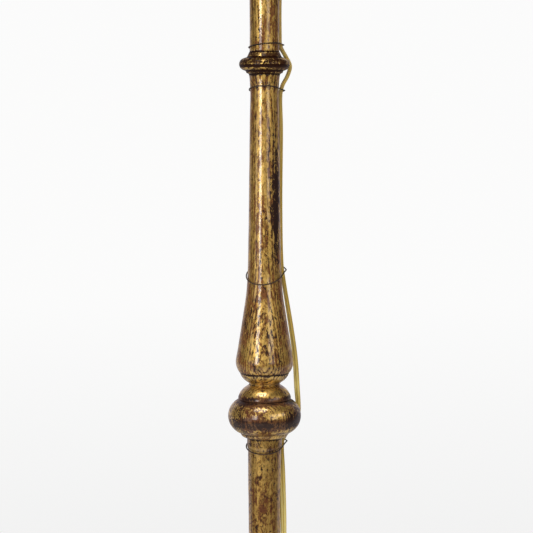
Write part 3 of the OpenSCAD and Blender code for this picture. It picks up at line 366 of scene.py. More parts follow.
def shaped(name, grids, finish, stands_for, body="lamp", round_way=True, marks=None):
    """A piece from one or more grids of points (rows, columns, 3) in metres: four-sided faces between
    rows, whose columns run round and meet if round_way, with flat faces over the two ends. marks are
    numbers per grid point, kept as attributes for the finish."""
    grids = grids if isinstance(grids, list) else [grids]
    faces, start = [], 0
    for points in grids:
        rows, columns = points.shape[:2]
        faces_round = columns if round_way else columns - 1
        r, c = np.meshgrid(np.arange(rows - 1), np.arange(faces_round), indexing="ij")
        row = start + r * columns
        here = row + c
        beside = row + (c + 1) % columns
        faces += np.stack([here, beside, beside + columns, here + columns], -1).reshape(-1, 4).tolist()
        if round_way:
            last = start + (rows - 1) * columns
            faces.append(list(range(start, start + columns))[::-1])
            faces.append(list(range(last, last + columns)))
        start += rows * columns
    mesh = bpy.data.meshes.new(name)
    mesh.from_pydata(np.vstack([g.reshape(-1, 3) for g in grids]).tolist(), [], faces)
    mesh.polygons.foreach_set("use_smooth", np.ones(len(faces), bool))
    for key, value in (marks or {}).items():
        kept = mesh.attributes.new(key, "FLOAT", "POINT")
        kept.data.foreach_set("value", np.ascontiguousarray(value.ravel(), np.float32))
    mesh.materials.append(finish)
    made = bpy.data.objects.new(name, mesh)
    bpy.context.scene.collection.objects.link(made)
    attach(made, body)
    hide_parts(*stands_for)
    return made


def hand_wobble(angle, height, seed, reach):
    """Unevenness of hand turning, in mm: eight waves round and along the piece, each with a whole
    number of waves round it, a chance length along it and a chance start."""
    chance = np.random.default_rng(seed)
    waves = np.zeros(np.broadcast(angle, height).shape)
    for k in range(8):
        lobes = chance.integers(1, 5) if k < 4 else chance.integers(4, 11)
        length = chance.uniform(14, 160)
        tall = chance.uniform(0.4, 1) / (1 + 0.4 * k)
        waves += tall * np.sin(lobes * angle + full_turn * height / length + chance.uniform(0, full_turn))
    return reach * waves / 2.4


def grooves_of(line, width):
    """How deep each point of an outline lies in a groove, from 0 to 1: how far it is behind the
    outline's own average over `width` mm, measured outwards, against 0.5 mm. Ridges go to -1."""
    gap = np.linalg.norm(line[1] - line[0]) + 1e-9
    count = max(int(width / gap), 1)
    weights = np.hanning(2 * count + 3)[1:-1]
    longer = np.pad(line, ((count, count), (0, 0)), mode="edge")
    mean = np.column_stack([np.convolve(longer[:, k], weights / weights.sum(), "valid") for k in (0, 1)])
    way = np.gradient(line, axis=0)
    out = np.column_stack([way[:, 1], -way[:, 0]]) / (np.linalg.norm(way, axis=1)[:, None] + 1e-9)
    return np.clip(((mean - line) * out).sum(1) / 0.5, -1, 1)


def ring_grid(r, a, z, centre=(0, 0)):
    """Points in metres at the distance r and angle a from an upright axis at centre, and height z."""
    return np.stack([centre[0] + r * np.cos(a), centre[1] + r * np.sin(a), z + 0 * a], -1) * mm


def turned(name, node, foot, outline, finish, hole, gap=1.0, sides=120, wobble=0.08, centre=(0, 0),
           bands=(), spots=()):
    """A turning that stands for a node, on the height foot. Each point (distance, height) of the
    outline, in mm, goes round the axis in `sides` steps, with the unevenness of hand turning. hole is
    (radius, depth at the foot, depth at the head) of the holes in its ends. Each band is (height,
    half width, darkening, wear) of a zone round the turning that is darker or more worn, and each spot
    (height, half height, side, half side, darkening, wear) is one with its sides in degrees. The
    darkening is dirt, and in some bands and spots also painted shade and painted dark reflection."""
    line = even_line(outline, gap)
    way = length_along(line)
    # The glued ends darken as dark joints, and the recesses of the outline darken as dirt and painted shade.
    seam_dirt = 1.05 * np.exp(-(np.minimum(way, way[-1] - way) / 1.3) ** 2)
    deep = grooves_of(line, 2.4) + seam_dirt
    thin = 0 * deep
    for height, half, dirt_and_shade, wear in bands:
        near = np.exp(-((line[:, 1] - height) / half) ** 4)
        deep, thin = deep + dirt_and_shade * near, thin + wear * near
    low_z, high_z = line[0, 1], line[-1, 1]
    r, low, high = hole
    line = np.vstack([[(near_axis, low_z + low), (r, low_z + low), (r, low_z)], line,
                      [(r, high_z), (r, high_z - high), (near_axis, high_z - high)]])
    deep, thin = np.pad(deep, 3)[:, None], np.pad(thin, 3)[:, None]
    a = even_angles(sides)
    r, z = line[:, :1], line[:, 1:]
    outer = np.clip((r - 9) / 6, 0, 1)
    r = r + outer * hand_wobble(a, z + foot, int(foot), wobble)
    deep, thin = deep + 0 * a, thin + 0 * a
    for height, half, side, half_side, dirt_and_shade, wear in spots:
        off = (np.degrees(a) - side + 180) % 360 - 180
        near = np.exp(-((z - height) / half) ** 2 - (off / half_side) ** 2)
        deep, thin = deep + dirt_and_shade * near, thin + wear * near
    points = ring_grid(r, a, foot + z, centre)
    return shaped(name, points, finish, [node], marks={"groove": deep, "rubbed": thin})


green_felt = moulded("green_felt", (0.030, 0.055, 0.028), (0.018, 0.035, 0.018), (0.055, 0.085, 0.045),
                     0.95, 0.0, fleck=900, relief=0.6)
pad_round, pad_middle, pad_most = 1.4, 18.4, 19.2
pad_edge = arc_line((pad_middle, pad_round), pad_round, -90, 90, 8)
pad_line = even_line(np.vstack([[(near_axis, 0)], pad_edge, [(near_axis, 2.95)]]), 0.7)
pad_grids = []
for side in np.radians(foot_sides):
    a = even_angles(64)
    r = np.clip(pad_line[:, :1] + 0.25 * np.sin(5 * a + side) + 0.12 * np.sin(17 * a), near_axis, pad_most)
    middle = (foot_circle_r * np.cos(side), foot_circle_r * np.sin(side))
    pad_grids.append(ring_grid(r, a, pad_line[:, 1:], middle))
pads = shaped("felt_discs", pad_grids, green_felt, ["felt_pads"])

bun_half, bun_cut = 15, math.sin(math.radians(60))
bun = [(foot_r * (0.2 + 0.8 * math.cos(b)), bun_half + bun_half * math.sin(b) / bun_cut)
       for b in np.radians(np.arange(-60, 61, 6))]
foot_line = [(6, 0)] + bun + [(20, 31), (22, 32), (22, foot_h)]
for number, side in enumerate(foot_sides):
    s = math.radians(side)
    turned(f"foot_{number + 1}", f"bun_foot_{number + 1}", z_foot, foot_line, base_gold,
           (screw_hole, 10, 0.2), sides=72, centre=(foot_circle_r * math.cos(s), foot_circle_r * math.sin(s)))

rim = base_r - 3 - plinth_top_r
step = plinth_h - rim
plinth_line = np.vstack([[(92, 0), (base_r - 4, 0), (base_r, 4), (base_r, step - 4), (base_r - 3, step - 2)],
                         arc_line((plinth_top_r, step), rim, 0, 90, 16), [(24, plinth_h)]])
turned("plinth", "base_plinth", z_plinth, plinth_line, base_gold, (tenon_hole, 34, 30), sides=180,
       wobble=0.15, bands=[(0, 0.6, 4, 0)])

cove_low, cove_high, cove_r = 21, dome_h - 8, dome_r - 15
b = np.radians(np.arange(0, 91, 5))
cove = np.column_stack([cove_r - (cove_r - dome_top_r) * np.sin(b),
                        cove_high - (cove_high - cove_low) * np.cos(b)])
dome_line = np.vstack([arc_line((dome_r - 9, 9), 9, -90, 90, 18), [(cove_r + 2, 18), (cove_r + 2, cove_low)],
                       cove, arc_line((dome_top_r - 4, dome_h - 4), 4, -90, 90, 10), [(24, dome_h)]])
turned("dome", "base_dome", z_dome, dome_line, base_gold, (tenon_hole, 25, 25), sides=160, wobble=0.15)

# ---- column ----
# Seven turnings in line, dowelled and glued end to end: pedestal, lower shaft, knop, cushion ring,
# long vase, collar and upper shaft, with a candle cup on top. The leaf is best kept above the knop.
z_lower, z_knop, z_cushion, z_vase = 260, 664, 724, 737
z_collar, z_upper, z_capital, z_top = 1069, 1094, 1270, 1330
lower_h, vase_h = 404, 332
shaft_r, band_r, neck_r, cushion_r, vase_r, waist_r, upper_r = 17.8, 19.7, 17.4, 27.5, 32.3, 15.75, 16.5
dowel = (dowel_hole, 31, 31)


def smooth_line(points, count):
    """The curve through rows of numbers: between two rows it is the cubic that has, at each, half
    the difference of that row's neighbours as its slope. It has `count` rows for each stretch."""
    p = np.asarray(points, float)
    p = np.vstack([p[:1], p, p[-1:]])
    a, b, c, d = p[:-3, None], p[1:-2, None], p[2:-1, None], p[3:, None]
    s = (np.arange(count) / count)[None, :, None]
    q = b + 0.5 * s * ((c - a) + s * ((2 * a - 5 * b + 4 * c - d) + s * (3 * b - a - 3 * c + d)))
    return np.vstack([q.reshape(-1, p.shape[1]), p[-1:]])


r, h, top = 42, 132, shaft_r + 1.7
body = smooth_line([(r * 0.64, h * 0.115), (r * 0.6, h * 0.17), (r * 0.72, h * 0.29), (r * 0.95, h * 0.41),
                    (r, h * 0.485), (r * 0.9, h * 0.59), (r * 0.66, h * 0.71), (r * 0.5, h * 0.8),
                    (top, h * 0.86)], 8)
pedestal_line = np.vstack([[(21, 0)], arc_line((r + 2, 6), 6, -90, 90, 14), [(r - 2, 12), (r - 2, 14)], body,
                           arc_line((shaft_r + 5.7, h - 11), 6, -90, 90, 14),
                           [(shaft_r + 2.7, h - 5), (top, h - 3), (top, h)]])
turned("pedestal_turning", "pedestal", z_pedestal, pedestal_line, old_gold, (dowel_hole, 0.5, 31))

h, r = lower_h, shaft_r
taper = smooth_line([(r + 1.7, 0), (r + 1, h * 0.1), (r + 0.1, h * 0.35), (r, h * 0.6), (r + 0.3, h * 0.8),
                     (band_r - 1.2, h - 50), (band_r - 1, h - 13.5)], 8)
band = [(band_r - 0.3, h - 12), (band_r, h - 11), (band_r, h - 1.5), (band_r + 0.2, h)]
lower_line = np.vstack([taper, band])
turned("lower_shaft_turning", "lower_shaft", z_lower, lower_line, dull_gold, dowel, gap=1.3)

# The knop's big round is most of a circle, between its foot ring and the cyma that ends in its neck.
ball_r, foot_ring, ball_c = 20.5, 5, 24
sweep = math.degrees(math.asin(19 / ball_r))
r = ball_r + ball_r * math.cos(math.radians(sweep))
knop_line = np.vstack([[(r - foot_ring - 1.5, 0)],
                       arc_line((r - foot_ring - 1, foot_ring), foot_ring, -75, 0, 8),
                       arc_line((ball_r, ball_c), ball_r, -sweep, sweep, 48),
                       smooth_line([(r + 1, 43.3), (r + 1.4, 44), (r + 1, 46.4), (r - 1, 50.65),
                                    (neck_r + 6.2, 54.9), (neck_r + 1, 58.64), (neck_r, 60)], 6)])
# The darker band over the top of the round, where it meets the cyma, is dirt, leaf worn to bole, and painted
# shade in that recess.
turned("knop_turning", "knop", z_knop, knop_line, old_gold, (dowel_hole, 28, 28), gap=0.6, sides=144,
       bands=[(20, 6, 0.1, 0.45), (34, 8, 0.05, 0.25), (44, 4.5, 0.45, 0.8), (58.5, 3, -0.8, -0.1)],
       spots=[(19, 7, -95, 45, 0.6, 0.7), (23, 10, -32, 22, 0.9, 0.4)])

h, r = 13, cushion_r - neck_r
cushion_line = smooth_line([(neck_r, 0), (neck_r + 0.6, h * 0.12), (neck_r + r * 0.5, h * 0.36),
                            (neck_r + r * 0.84, h * 0.66), (cushion_r - 0.2, h * 0.9), (cushion_r, h)], 8)
turned("cushion_turning", "cushion_ring", z_cushion, cushion_line, old_gold, (dowel_hole, 5, 5), gap=0.5,
       bands=[(1.5, 3, -0.9, -0.2)])

# The vase falls in by a share of its width at each share of its height.
h, d = vase_h, vase_r - waist_r
falls = [(0.02, 0.048), (0.13, 0.078), (0.34, 0.144), (0.55, 0.21), (0.68, 0.252), (0.77, 0.3), (0.83, 0.37),
         (0.88, 0.5), (0.93, 0.7), (0.965, 0.84)]
vase_line = smooth_line([(cushion_r + 0.3, 0), (vase_r - 2.7, 2.4), (vase_r - 0.9, 6.6), (vase_r, h * 0.034)]
                        + [(vase_r - d * inward, h * up) for inward, up in falls]
                        + [(waist_r, h * 0.93), (waist_r + 0.5, h - 8), (waist_r + 1.2, h - 1.5),
                           (waist_r + 1.6, h)], 8)
# The spot on the right front of the vase's middle is a darker patch: dirt, and painted dark reflection down
# that side.
turned("vase_turning", "vase_shaft", z_vase, vase_line, shaft_gold, dowel, sides=128,
       bands=[(30, 75, 0.05, 0.1), (320, 6, 0.4, 0.2)], spots=[(198, 88, -42, 24, 1.25, 0.4)])

h, r, b = 25, 28, upper_r
swell = np.radians(np.arange(-75, 76, 5))
collar_line = np.vstack([
    [(waist_r + 1.6, 0), (b + 1.4, 0.8), (b + 3.6, 1.6), (b + 3.9, 2.8), (b + 4.6, h * 0.16)],
    np.column_stack([b + 4.6 + (r - b - 4.6) * np.cos(swell), h * 0.45 + h * 0.275 * np.sin(swell)]),
    [(b + 2.9, h * 0.76), (b + 2.2, h * 0.81), (b + 1.3, h * 0.89), (b + 0.6, h * 0.95), (b, h)]])
# The dark band just under the round's widest part is painted shadow. The dark lines in the grooves above and
# below it are dirt and painted shade, and the lighter bands between are cleaner leaf.
turned("collar_turning", "collar", z_collar, collar_line, dark_gold, (dowel_hole, 11, 11), gap=0.5, sides=144,
       wobble=0.3,
       bands=[(9, 1.7, 1.1, 0.4), (14, 2.5, 0.1, 0.2), (6.3, 1.2, -0.5, 0.1), (4.2, 0.8, 1.4, 0),
              (2.4, 1.0, 0.2, 0.3), (18.6, 1.1, 1.5, 0), (21.8, 1.8, -0.5, 0.4)])

h, r = 176, upper_r
upper_line = smooth_line([(r - 0.3, 0), (r, 2), (r - 0.2, h * 0.1), (r, h * 0.4), (r + 0.1, h * 0.7),
                          (r + 0.1, h)], 8)
turned("upper_shaft_turning", "upper_shaft", z_upper, upper_line, shaft_gold, dowel, gap=1.2)

h, r = 60, 40
cup_line = np.vstack([[(b, 0)], arc_line((b + 2, 3), 3, -80, 90, 10), [(b + 1.5, 7), (b + 1.5, 8)],
                      smooth_line([(b + 1, 9), (b + 1, h * 0.3), (b + 3, h * 0.45), (r - 14, h * 0.6),
                                   (r - 5, h * 0.72), (r - 3, h * 0.8)], 8),
                      arc_line((r - 4, h * 0.9), 4, -60, 60, 10), [(r - 3, h - 0.8), (r - 4, h)]])
turned("candle_cup", "capital", z_capital, cup_line, old_gold, (dowel_hole, 25, 9), gap=0.7)

# ---- brass fittings on the candle cup ----
# A cast plate with three screws, a spun drip pan, a turned spindle and a bent saddle, all on one
# threaded pipe. Old lacquered brass, with brown tarnish in cloudy patches and faint lathe marks.


def metal_finish(name, bright, tarnish, rough, coat=0.0):
    """A metal: bright with cloudy tarnish in patches and fine lathe rings that follow its height."""
    made, tree, skin = new_finish(name)
    here = object_place(tree)
    cloud = noise(tree, here, 70, 5, 0.6)
    marks = noise(tree, mapped(tree, here, scale=(0.2, 0.2, 7)), 260, 3, 0.5)
    spots = noise(tree, here, 700, 3, 0.6)
    stain = steps(tree, total(tree, (cloud, 0.7), (spots, 0.3)), 0.51, 0.67)
    colour = blend(tree, maths(tree, "MULTIPLY", stain, 0.8), (*bright, 1), (*tarnish, 1))
    wire(tree, skin, {"Base Color": colour, "Roughness": total(tree, (stain, 0.2), (marks, rough)),
                      "Normal": bump(tree, marks, 0.08, 0.2 * mm), "Metallic": 1.0, "Coat Weight": coat})
    return made


def finish_nodes(finish, *names):
    """Gives nodes of the model, whose shapes are right as they are, their finish."""
    for name in names:
        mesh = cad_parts[name].data
        mesh.materials.clear()
        mesh.materials.append(finish)


old_brass = metal_finish("old_brass", (0.62, 0.42, 0.16), (0.20, 0.11, 0.035), 0.5, coat=0.3)
plain_steel = metal_finish("plain_steel", (0.46, 0.45, 0.43), (0.22, 0.20, 0.18), 0.6)
cast_iron = moulded("cast_iron", (0.045, 0.043, 0.04), (0.025, 0.024, 0.023), (0.08, 0.07, 0.06), 0.7, 0.0,
                    fleck=500, relief=0.5, metal=0.6)
dowel_wood = moulded("dowel_wood", (0.42, 0.28, 0.15), (0.30, 0.18, 0.09), (0.52, 0.37, 0.21), 0.7, 0.0,
                     fleck=160, relief=0.2)
finish_nodes(dowel_wood, "pedestal_dowel", "knop_dowel", "collar_dowel", "capital_dowel")
finish_nodes(cast_iron, "ballast")
finish_nodes(plain_steel, "foot_screws", "ballast_bolt", "ballast_washer", "lamp_pipe")
finish_nodes(green_felt, "base_cover")
finish_nodes(old_brass, "cover_screws", "plate_screws", "fixing_plate", "harp_saddle", "harp_sleeve_left",
             "harp_sleeve_right", "harp_stud", "neck_spindle", "finial")

z_pan, pan_r, pan_h, pan_t, pan_hole, lip_r = z_top + 3, 58, 10, 1.2, 5.2, 0.45


def pan_side(out):
    """Outline of one face of the pan, `out` mm over its underside."""
    return [(22, out), (30, out + 0.4), (pan_r - 13, pan_h * 0.22 + out), (pan_r - 6, pan_h * 0.48 + out),
            (pan_r - 2.6 - out * 0.5, pan_h * 0.8), (pan_r - out * 0.7, pan_h)]


# The pan's rim has 24 faint flutes.
under = smooth_line([(34, 0.05)] + pan_side(0)[2:], 8)
over = smooth_line(pan_side(pan_t), 8)[::-1]
lip = arc_line((pan_r - lip_r, pan_h), lip_r, 0, 180, 8)
pan_line = even_line(np.vstack([[(pan_hole, 0)], under[:-1], lip, over[1:], [(pan_hole, pan_t)]]), 0.7)
a = even_angles(160)
flute = 0.35 * np.clip((pan_line[:, :1] - 44) / 8, 0, 1) * np.cos(24 * a)
r = pan_line[:, :1] + np.minimum(flute, 0)
shaped("drip_dish", ring_grid(r, a, z_pan + pan_line[:, 1:]), old_brass, ["drip_pan"])

# ---- harp ----
# One length of brass wire, bent to carry the shade over the bulb. Its feet stand on the saddle's
# posts inside two sliding sleeves.
z_saddle, harp_foot, harp_half, harp_h, post_h, leg_h, harp_wire_r = 1375.2, 30, 62, 232, 13.5, 47, 1.8


def unit_rows(rows):
    return rows / np.linalg.norm(rows, axis=1)[:, None]


def directions(line):
    """The way along a line of points, from the point before to the point after, as unit rows."""
    return unit_rows(np.vstack([line[1:2] - line[:1], line[2:] - line[:-2], line[-1:] - line[-2:-1]]))


def square_to(way, rows):
    """Rows made square to the unit rows `way`, as unit rows."""
    return unit_rows(rows - (rows * way).sum(1)[:, None] * way)


def swept(line, across, section, swell=None):
    """A section of (wide, thick) points carried along a line. `across` gives the direction of its
    width at each point, made square to the line, and its thickness lies square to both. swell
    multiplies the section at each point. The points are in metres."""
    way = directions(line)
    wide = square_to(way, np.asarray(across, float).reshape(-1, 3))
    thick = np.cross(way, wide)
    size = np.ones(len(line)) if swell is None else swell
    x, y = section[None, :, :1] * size[:, None, None], section[None, :, 1:] * size[:, None, None]
    return (line[:, None] + x * wide[:, None] + y * thick[:, None]) * mm


def round_section(radius, sides):
    return polar(radius, even_angles(sides))


bow = harp_half - harp_foot
harp_side = smooth_line([(harp_foot, post_h), (harp_foot, post_h + 20), (harp_foot, leg_h - 5),
                         (harp_foot, leg_h), (harp_foot + bow * 0.5, leg_h + 22),
                         (harp_half - 2, harp_h * 0.42),
                         (harp_half, harp_h * 0.52), (harp_half - 3, harp_h * 0.66),
                         (harp_half * 0.8, harp_h * 0.82), (harp_half * 0.5, harp_h * 0.945),
                         (harp_half * 0.3, harp_h * 0.992), (9, harp_h), (7, harp_h), (0, harp_h)], 6)
both_sides = np.vstack([harp_side, harp_side[:-1][::-1] * (-1, 1)])
harp_line = np.column_stack([both_sides[:, 0], 0 * both_sides[:, 0], z_saddle + both_sides[:, 1]])
shaped("harp_wire", swept(harp_line, (0, 1, 0), round_section(harp_wire_r, 20)), old_brass, ["harp"])

# ---- lampholder and bulb ----
# A drawn brass cap and shell over a paper liner and a black moulded body, with a turn key, and a
# frosted bulb in its screw shell.
black_moulding = moulded("black_moulding", (0.016, 0.014, 0.013), (0.010, 0.009, 0.008), (0.03, 0.026, 0.022),
                         0.35, 0.3, fleck=260)
grey_card = moulded("grey_card", (0.30, 0.27, 0.22), (0.22, 0.19, 0.15), (0.38, 0.35, 0.30), 0.9, 0.0,
                    fleck=420, relief=0.3)
stem_glass = moulded("stem_glass", (0.55, 0.56, 0.56), (0.42, 0.43, 0.43), (0.68, 0.69, 0.69), 0.25, 0.2)
frosted, t, skin = new_finish("frosted_glass")
frost = noise(t, object_place(t), 1400, 3, 0.6)
wire(t, skin, {"Base Color": ramp(t, frost, [(0.3, (0.86, 0.86, 0.84)), (0.7, (0.93, 0.93, 0.91))]),
               "Roughness": total(t, (frost, 0.1), start=0.38), "Transmission Weight": 0.7, "IOR": 1.3})
finish_nodes(old_brass, "socket_cap", "socket_shell", "screw_shell")
finish_nodes(grey_card, "socket_liner")
finish_nodes(black_moulding, "socket_body", "switch_key")
finish_nodes(plain_steel, "centre_contact", "bulb_base")
finish_nodes(frosted, "bulb_glass")
finish_nodes(stem_glass, "bulb_stem")

# ---- shade ----
# Linen laminated to a stiff card, rolled into a cone round two wire rings, with a lapped seam at
# the back. Bias tape is glued over both edges. The top ring's spider sits on the harp's stud.
z_shade, shade_h, shade_low_r, shade_high_r, tape_h = 1377, 250, 195, 95, 10
shade_slope = (shade_low_r - shade_high_r) / shade_h
wall_t = math.hypot(1, shade_slope)
back_side = math.radians(90)


def cloth_finish(name, thread, shadow, light, threads_a, threads_b, slubs=0.5):
    """Plain weave on the piece's own map: threads_a threads across it and threads_b up it. A thread
    is a rounded ridge, the two sets pass over each other in turn, and slubs thicken some threads.
    The attribute `lap_darkening` darkens it at a lapped seam: painted shade along the lap's two edges, and a
    little across the lap where the cloth lies over itself."""
    made, tree, skin = new_finish(name)
    place = add(tree, "UVMap", uv_map="cloth").outputs[0]
    place = add(tree, "SeparateXYZ", {"Vector": place}).outputs
    u = maths(tree, "MULTIPLY", place["X"], threads_a * math.pi)
    v = maths(tree, "MULTIPLY", place["Y"], threads_b * math.pi)
    ridge_u, ridge_v = (maths(tree, "ABSOLUTE", maths(tree, "SINE", w)) for w in (u, v))
    half_u, half_v = (maths(tree, "SINE", maths(tree, "MULTIPLY", w, 0.5)) for w in (u, v))
    over = maths(tree, "GREATER_THAN", maths(tree, "MULTIPLY", half_u, half_v), 0.0)
    height = blend(tree, over, ridge_u, ridge_v)
    both = add(tree, "CombineXYZ", {"X": u, "Y": v}).outputs[0]
    slub_u = noise(tree, vectors(tree, "MULTIPLY", both, (0.32, 0.012, 0)), 1.0, 3, 0.6)
    slub_v = noise(tree, vectors(tree, "MULTIPLY", both, (0.012, 0.32, 0)), 1.0, 3, 0.6)
    thicker = 1.6 * slubs
    tone = total(tree, (height, 0.35), (slub_u, thicker), (slub_v, thicker),
                 (attribute(tree, "lap_darkening"), -0.3), start=-0.7 * thicker)
    wire(tree, skin, {"Base Color": ramp(tree, tone, [(0.12, shadow), (0.5, thread), (0.9, light)]),
                      "Roughness": 0.9, "Sheen Weight": 0.15, "Normal": bump(tree, tone, 0.35, 0.4 * mm)})
    return made


def wrapped(name, grids, finish, stands_for, rounds, upward, marks=None):
    """Bands of cloth round the axis, from grids whose first and last rows and columns meet and are
    joined there. Their map runs round by `rounds`, one value a column, and up by `upward`, one
    value a row."""
    made = shaped(name, grids, finish, stands_for, "shade", round_way=False, marks=marks)
    layer = made.data.uv_layers.new(name="cloth")
    place = np.stack(np.meshgrid(rounds, upward, indexing="xy"), -1).reshape(-1, 2)
    corners = np.empty(len(made.data.loops), np.int32)
    made.data.loops.foreach_get("vertex_index", corners)
    layer.data.foreach_set("uv", np.tile(place, (len(grids), 1))[corners].astype(np.float32).ravel())
    work = bmesh.new()
    work.from_mesh(made.data)
    bmesh.ops.remove_doubles(work, verts=work.verts, dist=1e-6)
    work.to_mesh(made.data)
    work.free()
    return made


def up_and_down(outside, inside):
    """Rows up one face of a wall and down the other, closed at its first row."""
    return np.concatenate([outside, inside[::-1], outside[:1]])


linen = cloth_finish("linen", (0.66, 0.58, 0.45), (0.46, 0.38, 0.27), (0.78, 0.71, 0.58), 1150, 230)
bias_tape = cloth_finish("bias_tape", (0.50, 0.41, 0.27), (0.34, 0.27, 0.17), (0.60, 0.51, 0.36), 1100, 22,
                         slubs=0.2)

# The wall goes up outside and down inside. The cone is a little out of round, and the cloth sinks
# by a hair between the rings. At the back its turned edge lies over its start, in a strip of the
# same width all the way up: the first columns stand at set distances round from the seam.
lap_w, lap_rise, lap_edge, out_of_round, sink = 9, 0.5, 0.35, 0.25, 0.45
up = np.concatenate([[0, 0.3], np.linspace(2, shade_h - 2, 46), [shade_h - 0.3, shade_h]])
out_r = shade_low_r - shade_slope * up - sink * np.sin(np.pi * up / shade_h) ** 2
r = up_and_down(out_r, out_r - wall_t + 0.02)[:, None]
z = up_and_down(up, up)[:, None]
lap = np.array([0, lap_edge, lap_w * 0.5, lap_w - lap_edge, lap_w, lap_w + lap_edge]) / r
a = np.hstack([lap, lap[:, -1:] + (full_turn - lap[:, -1:]) * np.linspace(0, 1, 289)[None, 1:]])
raised = np.zeros(a.shape[1])
raised[1:4] = lap_rise * np.array([0.8, 1, 0.9])
# The seam strip is darkened: most along its two edges, as painted shade, and a little across it where the
# cloth lies over itself.
lap_darkening = np.zeros(a.shape[1])
lap_darkening[:5] = 0.5, 1, 0.35, 1, 0.5
row = np.arange(len(r))[:, None]
outside = (row < len(up)) | (row == len(r) - 1)
a = a + back_side
sway = out_of_round * np.sin(2 * a + 0.7) * np.sin(np.pi * z / shade_h)
r = r + sway - out_of_round + raised * outside
shade_cloth = wrapped("shade_linen", [ring_grid(r, a, z_shade + z)], linen, ["shade_skin"],
                      (a.mean(0) - a[0, 0]) / full_turn, z[:, 0] / shade_h,
                      marks={"lap_darkening": lap_darkening * outside})


def edge_tape(low):
    """Tape folded over one edge of the shade: a crowned band outside the cloth."""
    h = np.linspace(0, tape_h, 9)
    cone = shade_low_r - shade_slope * (low + h)
    crown = 0.28 * np.sin(np.pi * h / tape_h) ** 0.5
    b = np.linspace(0, full_turn, 241) + back_side
    r = up_and_down(cone + 0.30 + crown, cone - 0.2)[:, None] + 0.05 * np.sin(31 * b)
    z = up_and_down(h, h)[:, None] + low
    return ring_grid(r, b, z_shade + z)


share = np.linspace(0, 1, 9)
tapes = wrapped("edge_tapes", [edge_tape(0), edge_tape(shade_h - tape_h)], bias_tape,
                ["shade_trims"], np.linspace(0, 1, 241), up_and_down(share, share))
finish_nodes(old_brass, "shade_top_ring", "shade_bottom_ring")

# ---- lead ----
# A flat twin lead: two stranded copper cores side by side in clear gold plastic, moulded in one
# with a furrow between them. It comes out of the candle cup, goes down the outside of the column
# and over the base, and the rest stands on edge on the floor in a coil of two layers.
lead_w, lead_t, furrow = 6.7, 3.5, 1.15

# Points on the column are (distance from the axis, side in degrees, height, turn on edge in degrees),
# and on the floor (x, y, height, turn).
column_route = [
    (25, 22, 1282, 0), (28, 22, 1277, 0), (31.5, 22, 1266, 0), (31, 23, 1245, 0), (24.5, 25, 1207, 0),
    (19, 27, 1160, 0), (18.8, 28, 1112, 0), (19.8, 27, 1100, 0), (25.3, 25, 1090, 0), (30.6, 23, 1079, 0),
    (27.6, 22, 1068, 0), (21, 22, 1056, 0), (18.8, 22, 1042, 0), (19.8, 23, 1006, 0), (20, 29, 930, 0),
    (20.5, 25, 866, 0), (23, 20, 838, 5), (30.8, 18, 790, 20), (36.2, 18, 752, 30), (39.2, 21, 718, 40),
    (42.4, 26, 698, 20), (43.4, 29, 686, 0), (37.5, 33, 672, 0), (26, 32, 661, 0), (21.9, 27, 651, 0),
    (21.6, 20, 620, 40), (22, 12, 560, 75), (21.5, 15, 480, 50), (20.2, 22, 400, 0), (21, 27, 310, 0),
    (26, 29, 266, 0), (32.6, 31, 249, 0), (38.5, 34, 221, 0), (44.6, 38, 191, 0), (52, 43, 150, 0),
    (63.5, 47, 125, 0), (89, 51, 107, 0), (117, 54, 94, 0), (145.4, 57, 71.5, 0), (156.5, 58, 50, 15),
    (165.5, 60, 20, 45)]
floor_route = [(90, 156, 6.5, 65), (96, 168, 4, 85), (100, 184, 3.6, 90), (100, 198, 3.6, 90)]
coil_x, coil_y, coil_r, coil_turns = 56, 205, 44, 4
coil_pitch, layer_pitch, coil_z, coil_exit = lead_t + 0.7, lead_w + 0.7, 3.6, 110

q = np.array(column_route, float)
side = np.radians(q[:, 1])
route = smooth_line(np.vstack([polar(q[:, 0], side, q[:, 2:]), floor_route]), 6)

# The coil: a turn's distance from the middle falls by one pitch in each turn of the floor layer,
# dips inward while the lead climbs, and grows again in the upper layer.
u = np.linspace(0, 2 * coil_turns + 1 + coil_exit / 360, 450)
climb = np.clip((u - coil_turns) * 2, 0, 1)
climbing = coil_turns + np.sin(full_turn * (u - coil_turns))
inward = np.where(u < coil_turns, u, np.where(climb < 1, climbing, 2 * coil_turns + 0.5 - u))
turn_r = coil_r - coil_pitch * inward
coil_rise = coil_z + layer_pitch * (1 - np.cos(np.pi * climb)) / 2
coil = (coil_x, coil_y, 0) + polar(turn_r, full_turn * u, coil_rise)

# From the coil it runs straight on to the plug and rises to the plug's middle.
plug_z = 8
last_way = coil[-1] - coil[-2]
last_way /= np.linalg.norm(last_way)
tail = coil[-1] + last_way * np.array([[8], [16], [24]])
tail[:, 2] += (plug_z - coil[-1, 2]) * np.array([0, 0.5, 1])
plug_at = tail[-1] + last_way * lead_w
plug_start = np.array([plug_at[0], plug_at[1], plug_z])
tail = smooth_line(np.vstack([coil[-1:], tail, plug_start]), 4)[1:]
lead_line = np.vstack([route[:, :3], coil, tail])
turn = np.radians(np.append(route[:, 3], np.full(len(coil) + len(tail), 90)))[:, None]

# Its width lies level, square to its way, then turned on edge, and upright all along the floor.
way = directions(lead_line)
level = unit_rows(np.column_stack([-lead_line[:, 1], lead_line[:, 0], 0 * lead_line[:, 0]]))
flat = square_to(way, level)
lead_wide = flat * np.cos(turn) - np.cross(way, flat) * np.sin(turn)
lead_wide[len(route):] = (0, 0, -1)

# Half of the section is a lobe about its core, up to the furrow.
lobe, core = lead_t / 2, lead_w / 2 - lead_t / 2
b = np.radians(np.array([-128, -105, -80, -55, -28, 0, 28, 55, 80, 105, 128]))
right = (core, 0) + polar(lobe, b)
lead_section = np.vstack([right, [(0, furrow)], -right, [(0, -furrow)]])
